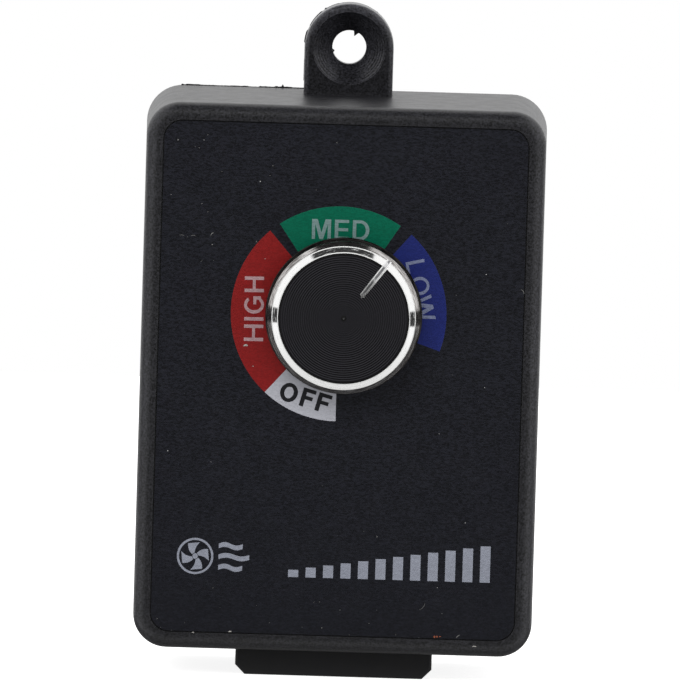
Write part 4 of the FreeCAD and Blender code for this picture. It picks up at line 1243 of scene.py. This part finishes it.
def solid_piece(name: str, points: Sequence[Vector], faces: Sequence[Sequence[int]]) -> bpy.types.Object:
    """Makes a mesh object.

    Args:
        name: The piece's name.
        points: Its points in millimetres.
        faces: The points of each face, by number.

    Returns:
        The new object.
    """
    mesh = bpy.data.meshes.new(name)
    mesh.from_pydata([p * MM for p in points], [], [list(f) for f in faces])
    mesh.validate()
    return placed(name, mesh)


def placed(name: str, data: Any) -> bpy.types.Object:
    """Puts data into the scene as an object.

    Args:
        name: The object's name.
        data: Its mesh, camera or lamp.

    Returns:
        The new object.
    """
    made = bpy.data.objects.new(name, data)
    bpy.context.scene.collection.objects.link(made)
    return made


def bands(count: int, sides: int) -> list[tuple[int, ...]]:
    """Lists the faces of a closed bar made of rings of points.

    Args:
        count: How many rings there are.
        sides: How many points each ring has.

    Returns:
        The points of each face round the bar, by number.
    """
    faces = []
    for k in range(0, (count - 1) * sides, sides):
        for m in range(sides):
            n = (m + 1) % sides
            faces.append((k + m, k + n, k + sides + n, k + sides + m))
    return faces


def dress(piece: bpy.types.Object, finish: bpy.types.Material) -> None:
    """Gives a piece its finish and slot, and lets it ride on the box.

    Args:
        piece: The piece.
        finish: Its material.
    """
    piece.data.materials.clear()
    piece.data.materials.append(finish)
    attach(piece, BOX)
    log.info("piece %s rides on %s", piece.name, BOX)


@dataclass
class CadParts:
    """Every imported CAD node, dressed in the finish of its material slot."""

    materials: dict[str, bpy.types.Material] = field(default_factory=dict)

    def dress_all(self) -> None:
        """Builds each slot's material and gives it to that slot's nodes."""
        table = finishes()
        for part in frame["record"]["subparts"]:
            slot = part["material_slot"]
            if slot not in self.materials:
                self.materials[slot] = table[slot].build(slot)
            for place in frame["nodes"][part["node"]].material_slots:
                place.material = self.materials[slot]
            log.info("node %s wears %s", part["node"], slot)


@dataclass(frozen=True)
class Word:
    """One word of the dial, set straight, as letters with their places along the line and widths."""

    name: str
    letters: Sequence[tuple[str, float, float]]
    start: Point
    angle: float
    height: float
    alphabet: Alphabet
    ink: Colour

    def loops(self) -> list[Loop]:
        """Draws the word's outlines, letter by letter.

        Returns:
            The outlines in millimetres on the face.
        """
        turn, tall, outlines = math.radians(self.angle), self.height, []
        along, up = Vector((math.cos(turn), math.sin(turn))), Vector((-math.sin(turn), math.cos(turn)))
        for letter, offset, width in self.letters:
            for loop in self.alphabet.glyph(letter, width / tall):
                spots = [Vector(self.start) + along * (offset + x * tall) + up * y * tall for x, y in loop]
                outlines.append([(p.x, p.y) for p in spots])
        return outlines


@dataclass
class Dial:
    """The four words printed on the dial fields."""

    thick: float = 0.05
    proud: float = 0.015
    words: Sequence[Word] = (
        Word("word_med", (("M", 0.0, 3.33), ("E", 4.0, 2.54), ("D", 7.15, 2.9)), (-5.6, 24.8), 0.0, 3.5,
             Alphabet(0.175, 0.15), (0.150, 0.230, 0.225)),
        Word("word_high", (("H", 0.0, 2.9), ("I", 3.6, 0.60), ("G", 4.83, 3.12), ("H", 8.6, 2.75)),
             (-13.57, 6.56), 90.8, 3.38, Alphabet(0.175, 0.15), (0.370, 0.235, 0.250)),
        Word("word_low", (("L", 0.0, 2.35), ("O", 2.93, 3.2), ("W", 6.36, 4.4)), (10.95, 21.13), -77.2, 3.3,
             Alphabet(0.165, 0.14), (0.150, 0.172, 0.275)),
        Word("word_off", (("O", -3.82, 3.12), ("F", 0.0, 2.35), ("F", 2.86, 2.4)), (-7.03, -4.52), -15.4, 3.3,
             Alphabet(0.23, 0.20), (0.0085, 0.0090, 0.0115)),
    )

    def build(self) -> None:
        """Prints the words on the coloured fields."""
        front = -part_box("print_med")[0].y / MM + self.proud
        for word in self.words:
            ink = Ink(word.ink, 0.44, specular=0.35, tone=0.15).build("ink_" + word.name)
            dress(flat_piece(word.name, word.loops(), front, self.thick), ink)


@dataclass
class FaceSymbols:
    """A plain fan symbol and a rising row of bars, printed low on the face."""

    base: float = -34.8
    height: float = 6.4
    fan_x: float = -24.4
    ring_inner: float = 0.88
    hub: float = 0.15
    blade_reach: float = 0.80
    blade_root: float = 0.24
    blade_count: int = 4
    blade_steps: int = 10
    lead_turns: Point = (8.0, -18.0)
    trail_turns: Point = (30.0, 60.0)
    air_gap: float = 0.9
    air_half: float = 0.42
    air_wave: float = 0.28
    air_steps: int = 16
    air_lines: Sequence[Point] = ((-1.9, 4.2), (0.0, 5.4), (1.9, 4.2))
    bars_left: float = -8.0
    bars_right: float = 27.4
    bar_count: int = 12
    bar_share: float = 0.58
    bar_lowest: float = 0.2
    grey: Colour = (0.235, 0.250, 0.300)
    thick: float = 0.05
    proud: float = 0.02

    def blade(self, turn: float) -> Loop:
        """Draws one curved blade of the fan symbol.

        Args:
            turn: How far round the blade stands, in degrees.

        Returns:
            Its outline.
        """
        radius, steps = self.height / 2 * self.blade_reach, self.blade_steps
        spots = []
        for k in range(steps + 1):
            angle = self.lead_turns[0] + (self.lead_turns[1] - self.lead_turns[0]) * k / steps
            spots.append((self.blade_root + (1.0 - self.blade_root) * k / steps, angle))
        for k in range(steps + 1):
            angle = self.trail_turns[0] + (self.trail_turns[1] - self.trail_turns[0]) * k / steps
            spots.append((1.0 - (1.0 - self.blade_root) * k / steps, angle))
        x, z = self.fan_x, self.base + self.height / 2
        return [(x + radius * share * math.cos(math.radians(turn + angle)),
                 z + radius * share * math.sin(math.radians(turn + angle))) for share, angle in spots]

    def fan_loops(self) -> list[Loop]:
        """Draws the ring, hub, blades and air lines of the fan symbol.

        Returns:
            Their outlines.
        """
        x, z, r = self.fan_x, self.base + self.height / 2, self.height / 2
        loops = [ring_loop(x, z, r), ring_loop(x, z, r * self.ring_inner), ring_loop(x, z, r * self.hub, 28)]
        loops.extend(self.blade(360.0 / self.blade_count * k) for k in range(self.blade_count))
        left = x + r + self.air_gap
        for row, reach in self.air_lines:
            shares = [k / self.air_steps for k in range(self.air_steps + 1)]
            waves = [(left + reach * a, z + row + self.air_wave * math.sin(a * 2 * math.pi)) for a in shares]
            upper = [(px, pz + self.air_half) for px, pz in waves]
            lower = [(px, pz - self.air_half) for px, pz in reversed(waves)]
            loops.append(lower + upper)
        return loops

    def bar_loops(self) -> list[Loop]:
        """Draws the bars, each taller than the one before.

        Returns:
            Their outlines.
        """
        pitch = (self.bars_right - self.bars_left) / (self.bar_count - 1 + self.bar_share)
        loops = []
        for k in range(self.bar_count):
            left = self.bars_left + k * pitch
            right = left + pitch * self.bar_share
            share = self.bar_lowest + (1.0 - self.bar_lowest) * k / (self.bar_count - 1)
            top = self.base + self.height * share
            loops.append([(left, self.base), (right, self.base), (right, top), (left, top)])
        return loops

    def build(self) -> None:
        """Prints the fan symbol and the bars on the face label."""
        front = -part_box("face_label")[0].y / MM + self.proud
        pale = Ink(self.grey, 0.45, specular=0.4, tone=0.1).build("symbol_grey")
        dress(flat_piece("symbol_fan", self.fan_loops(), front, self.thick), pale)
        dress(flat_piece("symbol_bars", self.bar_loops(), front, self.thick), pale)


@dataclass
class RaggedEdge:
    """A height that holds its level for some steps and then jumps."""

    draw: random.Random
    level: float = 0.12

    def step(self, chance: float, middle: float, spread: float, most: float) -> float:
        """Goes one step on along the edge.

        Args:
            chance: How likely the level jumps.
            middle: The usual level.
            spread: How far levels stray from it.
            most: The highest level.

        Returns:
            The height there.
        """
        if self.draw.random() < chance:
            self.level = max(0.0, min(most, self.draw.gauss(middle, spread)))
        return self.level


@dataclass
class Flash:
    """The thin ragged skin that the mould leaves at its parting lines."""

    seed: int = 7
    thick: float = 0.14
    root: float = 0.25
    rim_left: float = -29.6
    rim_y: float = -0.3
    rim_rise: float = 1.35
    rim_pitch: float = 0.25
    rim_steps: int = 90
    rim_levels: Sequence[float] = (0.22, 0.13, 0.08, 0.26)
    rim_shiver: float = 0.012
    spike_step: int = 72
    spike: float = 0.62
    lug_y: float = -6.95
    lug_half: float = 7.83
    lug_foot: float = 50.4
    lug_pitch: float = 0.3
    lug_straight: int = 21
    lug_steps: int = 78
    lug_turn: float = 2.25
    lug_levels: Sequence[float] = (0.3, 0.05, 0.09, 0.22)
    hole_z: float = 56.68
    hole_radius: float = 3.1
    burrs: Sequence[tuple[float, float, float]] = ((66.0, 1.2, 13.0), (196.0, 0.42, 10.0))
    burr_steps: int = 8
    burr_power: float = 1.2
    burr_least: float = 0.02
    burr_chances: Point = (0.9, 1.1)
    materials: dict[str, bpy.types.Material] = field(default_factory=dict)

    def strip(self, name: str, path: Sequence[tuple[Vector, Vector, float]]) -> None:
        """Makes a ragged skin along a line.

        Args:
            name: The piece's name.
            path: For each step its foot, the way out, and how far it stands.
        """
        points: list[Vector] = []
        back = Vector((0, self.thick, 0))
        for foot, out, reach in path:
            root, tip = foot - out * self.root, foot + out * reach
            points += [root, tip, tip + back, root + back]
        end = len(points)
        faces = bands(len(path), 4) + [(3, 2, 1, 0), (end - 4, end - 3, end - 2, end - 1)]
        dress(solid_piece(name, points, faces), self.materials["housing"])

    def rim(self, edge: RaggedEdge) -> None:
        """Runs the flash along the rear rim's top, with one spike.

        Args:
            edge: The ragged height.
        """
        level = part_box("rear_cover")[1].z / MM + self.rim_rise
        path = []
        for k in range(self.rim_steps):
            height = edge.step(*self.rim_levels) + edge.draw.gauss(0, self.rim_shiver)
            foot = Vector((self.rim_left + self.rim_pitch * k, self.rim_y, level))
            path.append((foot, Vector((0, 0, 1)), max(self.spike if k == self.spike_step else 0.0, height)))
        self.strip("rim_flash", path)

    def lug(self, edge: RaggedEdge) -> None:
        """Runs the flash up the lug's left side and round its top.

        Args:
            edge: The ragged height.
        """
        centre, path = Vector((0, self.lug_y, self.hole_z)), []
        for k in range(self.lug_steps):
            height = edge.step(*self.lug_levels)
            if k < self.lug_straight:
                out = Vector((-1, 0, 0))
                foot = Vector((-self.lug_half, self.lug_y, self.lug_foot + self.lug_pitch * k))
            else:
                turn = math.radians(180 - self.lug_turn * (k + 1 - self.lug_straight))
                out = Vector((math.cos(turn), 0, math.sin(turn)))
                foot = centre + out * self.lug_half
            path.append((foot, out, height))
        self.strip("lug_flash", path)

    def hole_burrs(self, draw: random.Random) -> None:
        """Leaves burrs on the hole's wall, each from its turn, reach and half width.

        Args:
            draw: The flash's random draws.
        """
        centre = Vector((0, self.lug_y, self.hole_z))
        for number, (turn, reach, wide) in enumerate(self.burrs):
            path = []
            for k in range(self.burr_steps + 1):
                offset = k / self.burr_steps - 0.5
                a = math.radians(turn + wide * offset * 2)
                inward = Vector((-math.cos(a), 0, -math.sin(a)))
                peak = reach * (1 - 2 * abs(offset)) ** self.burr_power * draw.uniform(*self.burr_chances)
                path.append((centre - inward * self.hole_radius, inward, max(self.burr_least, peak)))
            self.strip(f"hole_burr_{number + 1}", path)

    def build(self) -> None:
        """Makes the flash of the rear rim, of the lug and of its hole."""
        edge = RaggedEdge(random.Random(self.seed))
        self.rim(edge)
        self.lug(edge)
        self.hole_burrs(edge.draw)


@dataclass
class Lint:
    """Loose crumbs and short fibres that lie on the face."""

    seed: int = 11
    crumb_count: int = 16
    crumb_sizes: Point = (0.04, 0.08)
    margin: float = 3.0
    dial_middle: Point = (0.3, 11.7)
    dial_reach: float = 19.5
    crumb_spread: Point = (0.6, 1.2)
    crumb_lift: float = 0.02
    fibre_lift: float = 0.05
    fine: float = 0.08
    rings: int = 7
    sides: int = 6
    bow: float = 0.14
    taper: float = 1.6
    flatness: float = 0.6
    bezel_sink: float = 0.03
    bezel_speck: tuple[float, float, float, float, float] = (25.05, -46.15, 0.0, 0.70, 0.09)
    seen: Sequence[tuple[float, float, float]] = (
        (-13.66, 21.05, 0.09), (-15.21, 2.08, 0.13), (-24.27, 42.52, 0.08), (-25.78, 40.19, 0.08),
        (-12.74, 37.42, 0.09), (-21.63, 36.10, 0.07), (-13.21, 35.65, 0.08), (-1.66, 41.79, 0.08),
        (-5.09, 33.43, 0.07), (-30.44, 31.80, 0.09), (-24.97, 30.38, 0.08), (-23.88, 29.01, 0.07),
        (7.40, -27.26, 0.12), (-21.09, -37.11, 0.09), (-1.77, -43.59, 0.09), (18.19, -35.93, 0.10),
        (-30.76, -42.86, 0.08), (-15.22, 23.99, 0.11), (-22.97, 23.27, 0.10), (32.90, 22.63, 0.08),
    )
    rusty: Sequence[tuple[float, float, float]] = (
        (18.00, -44.62, 0.28), (18.45, -44.60, 0.25), (18.95, -44.56, 0.16),
    )
    faint: Sequence[tuple[float, float, float]] = (
        (-13.36, -40.00, 0.08), (-3.31, -39.14, 0.09), (-2.33, -39.06, 0.10), (1.29, -40.38, 0.09),
        (7.68, -40.19, 0.08), (19.19, -40.46, 0.09), (6.45, -42.56, 0.10), (-1.86, -43.62, 0.10),
        (-11.03, -42.99, 0.08), (-25.87, -43.43, 0.09), (3.05, -44.70, 0.08), (11.18, -44.46, 0.09),
        (15.26, -44.87, 0.08), (-30.11, -44.39, 0.09), (-28.19, -44.81, 0.08), (-5.29, -43.61, 0.09),
        (-8.22, -45.85, 0.08), (-22.68, 20.50, 0.08), (-24.66, 20.44, 0.08), (-27.33, 24.53, 0.08),
        (-24.31, 42.41, 0.07),
    )
    fibres: Sequence[tuple[float, float, float, float, float]] = (
        (-16.6, 5.68, 4.0, 0.75, 0.18), (-17.89, -44.78, 8.0, 0.50, 0.12),
        (-24.37, -45.15, -5.0, 0.45, 0.11), (22.13, -44.46, 38.0, 0.80, 0.070),
        (15.69, -39.33, 232.0, 1.50, 0.035), (-23.02, 25.13, 42.0, 0.75, 0.075),
        (31.61, 16.61, -55.0, 0.95, 0.06), (-28.34, 24.69, -8.0, 0.9, 0.035),
        (-26.36, 24.71, 5.0, 0.8, 0.035),
    )

    def build(self) -> None:
        """Scatters the crumbs, and places those and the fibres that stand out."""
        draw = random.Random(self.seed)
        low, high = (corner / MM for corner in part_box("face_label"))
        pale = Fluff((0.34, 0.33, 0.31)).build("lint_pale")
        rust = Fluff((0.33, 0.10, 0.05), 0.7, specular=0.3).build("lint_rust")
        grey = Fluff((0.15, 0.15, 0.145)).build("lint_grey")
        spots = list(self.faint)
        for _ in range(self.crumb_count):
            x = draw.uniform(low.x + self.margin, high.x - self.margin)
            z = draw.uniform(low.z + self.margin, high.z - self.margin)
            if math.hypot(x - self.dial_middle[0], z - self.dial_middle[1]) > self.dial_reach:
                spots.append((x, z, draw.uniform(*self.crumb_sizes)))
        self.crumbs("crumbs", self.seen, low.y, pale)
        self.crumbs("crumbs_rust", self.rusty, low.y, rust)
        self.crumbs("crumbs_faint", spots, low.y, grey)
        bezel_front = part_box("front_shell")[0].y / MM
        self.fibre("bezel_speck", bezel_front + self.bezel_sink, self.bezel_speck, pale)
        for k, shape in enumerate(self.fibres):
            finish = grey if shape[-1] < self.fine else pale
            self.fibre(f"fibre_{k + 1}", low.y - self.fibre_lift, shape, finish)

    def fibre(self, name: str, front: float, shape: Sequence[float], finish: bpy.types.Material) -> None:
        """Makes one short bent fibre.

        Args:
            name: The piece's name.
            front: The y that it lies on, in millimetres.
            shape: Its middle's x and z, its angle above the level in degrees, its length and half
                its thickness in millimetres.
            finish: Its material.
        """
        x, z, lean, reach, thick = shape
        turn, rings, sides = math.radians(lean), self.rings, self.sides
        along, up = Vector((math.cos(turn), 0, math.sin(turn))), Vector((-math.sin(turn), 0, math.cos(turn)))
        points: list[Vector] = []
        for k in range(rings):
            share = k / (rings - 1) - 0.5
            lift = up * reach * self.bow * (1.0 - 4 * share * share)
            spot = Vector((x, front, z)) + along * reach * share + lift
            half = thick * (1.0 - self.taper * share * share)
            for m in range(sides):
                a = 2 * math.pi * m / sides
                flat = Vector((0, half * self.flatness * math.sin(a), 0))
                points.append(spot + up * half * math.cos(a) + flat)
        ends = [tuple(reversed(range(sides))), tuple((rings - 1) * sides + m for m in range(sides))]
        dress(solid_piece(name, points, bands(rings, sides) + ends), finish)

    def crumbs(self, name: str, spots: Sequence[tuple[float, float, float]], front: float,
               finish: bpy.types.Material) -> None:
        """Makes a group of small uneven crumbs.

        Args:
            name: The piece's name.
            spots: For each crumb its x, z and size in millimetres.
            front: The y that they lie on, in millimetres.
            finish: Their material.
        """
        draw = random.Random(len(spots))
        points: list[Vector] = []
        faces: list[tuple[int, ...]] = []
        corners = [(1, 0, 0), (0, 0, 1), (-1, 0, 0), (0, 0, -1), (0, -1, 0), (0, 0.35, 0)]
        sides = [(0, 4, 1), (1, 4, 2), (2, 4, 3), (3, 4, 0), (0, 1, 5), (1, 2, 5), (2, 3, 5), (3, 0, 5)]
        for x, z, size in spots:
            base = len(points)
            for corner in corners:
                reach = size * draw.uniform(*self.crumb_spread)
                points.append(Vector((x, front - self.crumb_lift, z)) + Vector(corner) * reach)
            faces += [tuple(base + k for k in side) for side in sides]
        dress(solid_piece(name, points, faces), finish)


@dataclass
class Studio:
    """Camera, lamps, surroundings and floor."""

    target: Sequence[float] = (-0.113, -38.0, 7.177)
    elevation: float = 4.966
    distance: float = 2709.0
    roll: float = 1.70
    lens: float = 818.5
    sensor: float = 36.0
    clip: Point = (0.1, 50.0)
    aim: Sequence[float] = (0.0, -0.02, 0.005)
    ambient: float = 0.42
    dark_front: float = 0.10
    front_glow: float = 0.22
    wall_start: float = 0.95
    wall_full: float = 0.85
    wall_rise: float = 0.62
    wall_low: Sequence[float] = (-0.85, -0.2, 0.78, 1.0)
    glow_limits: Point = (0.2, 0.65)
    behind_start: Point = (0.05, 0.13)
    behind_low: Sequence[float] = (-0.12, -0.22, 0.0, 0.88)
    above_lean: Sequence[float] = (0.04, 0.19, 0.982)
    above_limits: Point = (0.870, 0.895)
    beside_level: float = 0.064
    beside_limits: Point = (0.095, 0.12)
    beside_start: Point = (0.9, 0.95)
    gap_light: float = 0.04
    floor_half: float = 550.0
    floor_gap: float = 0.02
    floor_paint: Colour = (0.85, 0.85, 0.85)
    floor_glow: float = 0.88
    # Painted shadow that polished parts see on the floor beneath the box.
    shade_glow: float = 0.25
    shade_y: Point = (-46.0, -39.0)
    shade_x: Point = (48.0, 36.0)
    lamps: Sequence[tuple[str, Sequence[float], float, Point]] = (
        ("lamp_key", (-0.35, -0.85, 0.75), 6.0, (0.9, 0.7)),
        ("lamp_fill", (0.65, -0.8, 0.35), 2.5, (0.7, 0.7)),
        ("lamp_top", (0.0, 0.15, 0.95), 4.0, (0.9, 0.6)),
    )

    def camera(self) -> None:
        """Sets the camera at the photograph's place."""
        data = bpy.data.cameras.new("camera")
        data.lens, data.sensor_width = self.lens, self.sensor
        data.clip_start, data.clip_end = self.clip
        made = placed("camera", data)
        bpy.context.scene.camera = made
        rise = math.radians(self.elevation)
        back = Vector((0.0, -math.cos(rise), math.sin(rise)))
        turn = back.to_track_quat("Z", "Y").to_matrix().to_4x4()
        roll = Matrix.Rotation(math.radians(self.roll), 4, "Z")
        place = (Vector(self.target) + back * self.distance) * MM
        made.matrix_world = Matrix.Translation(place) @ turn @ roll

    def lamp(self, name: str, place: Sequence[float], power: float, size: Point) -> None:
        """Adds one soft panel that points at the object.

        Args:
            name: The lamp's name.
            place: Its place in metres.
            power: Its power in watts.
            size: Its width and height in metres.
        """
        data = bpy.data.lights.new(name, "AREA")
        data.shape, data.energy = "RECTANGLE", power
        data.size, data.size_y = size
        made = placed(name, data)
        made.location = place
        aim = Vector(self.aim) - made.location
        made.rotation_euler = aim.to_track_quat("-Z", "Y").to_euler()
        made.visible_glossy = False
        made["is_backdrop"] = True

    def walls(self, s: Shader) -> Socket:
        """Paints the white walls that polished parts see, with dark gaps above, beside and low behind.

        Args:
            s: The builder of the world's tree.

        Returns:
            How bright the surroundings are in each direction.
        """
        x, y, z = s.axes(s.node("TexCoord").outputs["Generated"])
        round_about = s.math("MULTIPLY", s.plus(y, self.wall_start), 1.0 / self.wall_full, clamp=True)
        walls = s.times(s.math("POWER", round_about, self.wall_rise), s.ramp(z, *self.wall_low))
        glow = s.ramp(s.unsigned(z), *self.glow_limits, 0.0, self.front_glow)
        glow = s.times(glow, s.inverse(round_about))
        lean_x, lean_y, lean_z = self.above_lean
        upward = s.minus(s.minus(s.times(z, lean_z), s.times(y, lean_y)), s.times(x, lean_x))
        above = s.ramp(upward, *self.above_limits)
        level = s.inverse(s.ramp(s.unsigned(s.plus(z, self.beside_level)), *self.beside_limits))
        beside = s.times(level, s.ramp(s.unsigned(x), *self.beside_start))
        low_behind = s.times(s.ramp(y, *self.behind_start), s.ramp(z, *self.behind_low))
        open_walls = s.times(s.inverse(above), s.inverse(beside), s.inverse(low_behind))
        lit = s.plus(self.dark_front, s.times(s.plus(walls, glow), 1.0 - self.dark_front))
        return s.times(lit, s.plus(self.gap_light, s.times(open_walls, 1.0 - self.gap_light)))

    def surroundings(self) -> None:
        """Lights from all round evenly; only polished and clear parts see the walls."""
        world = bpy.data.worlds.new("studio")
        bpy.context.scene.world = world
        world.use_nodes = True
        world.node_tree.nodes.clear()
        s = Shader(world.node_tree)
        seen, mirrored = s.rays()
        strength = s.blend(seen, s.blend(mirrored, self.ambient, self.walls(s)), 1.0)
        light = s.node("Background", {"Color": WHITE, "Strength": strength})
        s.node("OutputWorld", {"Surface": light.outputs[0]})

    def floor(self) -> None:
        """Lays the pale floor just under the object, white to the camera except in its shadow; polished parts
        see through it, but for a painted shadow beneath the box.
        """
        half, level = self.floor_half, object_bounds()[0].z / MM - self.floor_gap
        corners = [Vector((x * half, y * half, level)) for x, y in ((-1, -1), (1, -1), (1, 1), (-1, 1))]
        made = solid_piece("floor", corners, [(0, 1, 2, 3)])
        material, s = empty_material("floor_white")
        paint = s.node("BsdfDiffuse", {"Color": self.floor_paint}).outputs[0]
        glow = s.node("Emission", {"Color": WHITE, "Strength": self.floor_glow}).outputs[0]
        both = s.node("AddShader", {0: paint, 1: glow}).outputs[0]
        x, y, _ = s.axes(s.millimetres())
        # Painted shadow beneath the box, seen only in reflections, in place of the shade that the box casts
        # there.
        under = s.times(s.ramp(y, *self.shade_y), s.ramp(s.unsigned(x), *self.shade_x))
        shade = s.node("Emission", {"Color": WHITE, "Strength": self.shade_glow}).outputs[0]
        clear = s.node("BsdfTransparent").outputs[0]
        seen, mirrored = s.rays()
        behind = s.node("NewGeometry").outputs["Backfacing"]
        shown = s.node("MixShader", {0: seen, 1: paint, 2: both}).outputs[0]
        reflected = s.node("MixShader", {0: under, 1: clear, 2: shade}).outputs[0]
        shown = s.node("MixShader", {0: mirrored, 1: shown, 2: reflected}).outputs[0]
        shown = s.node("MixShader", {0: behind, 1: shown, 2: clear}).outputs[0]
        s.node("OutputMaterial", {"Surface": shown})
        made.data.materials.append(material)
        made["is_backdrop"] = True

    def build(self) -> None:
        """Makes the camera, lamps, surroundings and floor."""
        self.camera()
        self.surroundings()
        self.floor()
        for name, place, power, size in self.lamps:
            self.lamp(name, place, power, size)
        bpy.context.scene.view_settings.view_transform = "Standard"


def main() -> None:
    """Builds and dresses every piece in order."""
    parts = CadParts()
    parts.dress_all()
    Dial().build()
    FaceSymbols().build()
    Flash(materials=parts.materials).build()
    Lint().build()
    Studio().build()


if __name__ == "__main__":
    main()
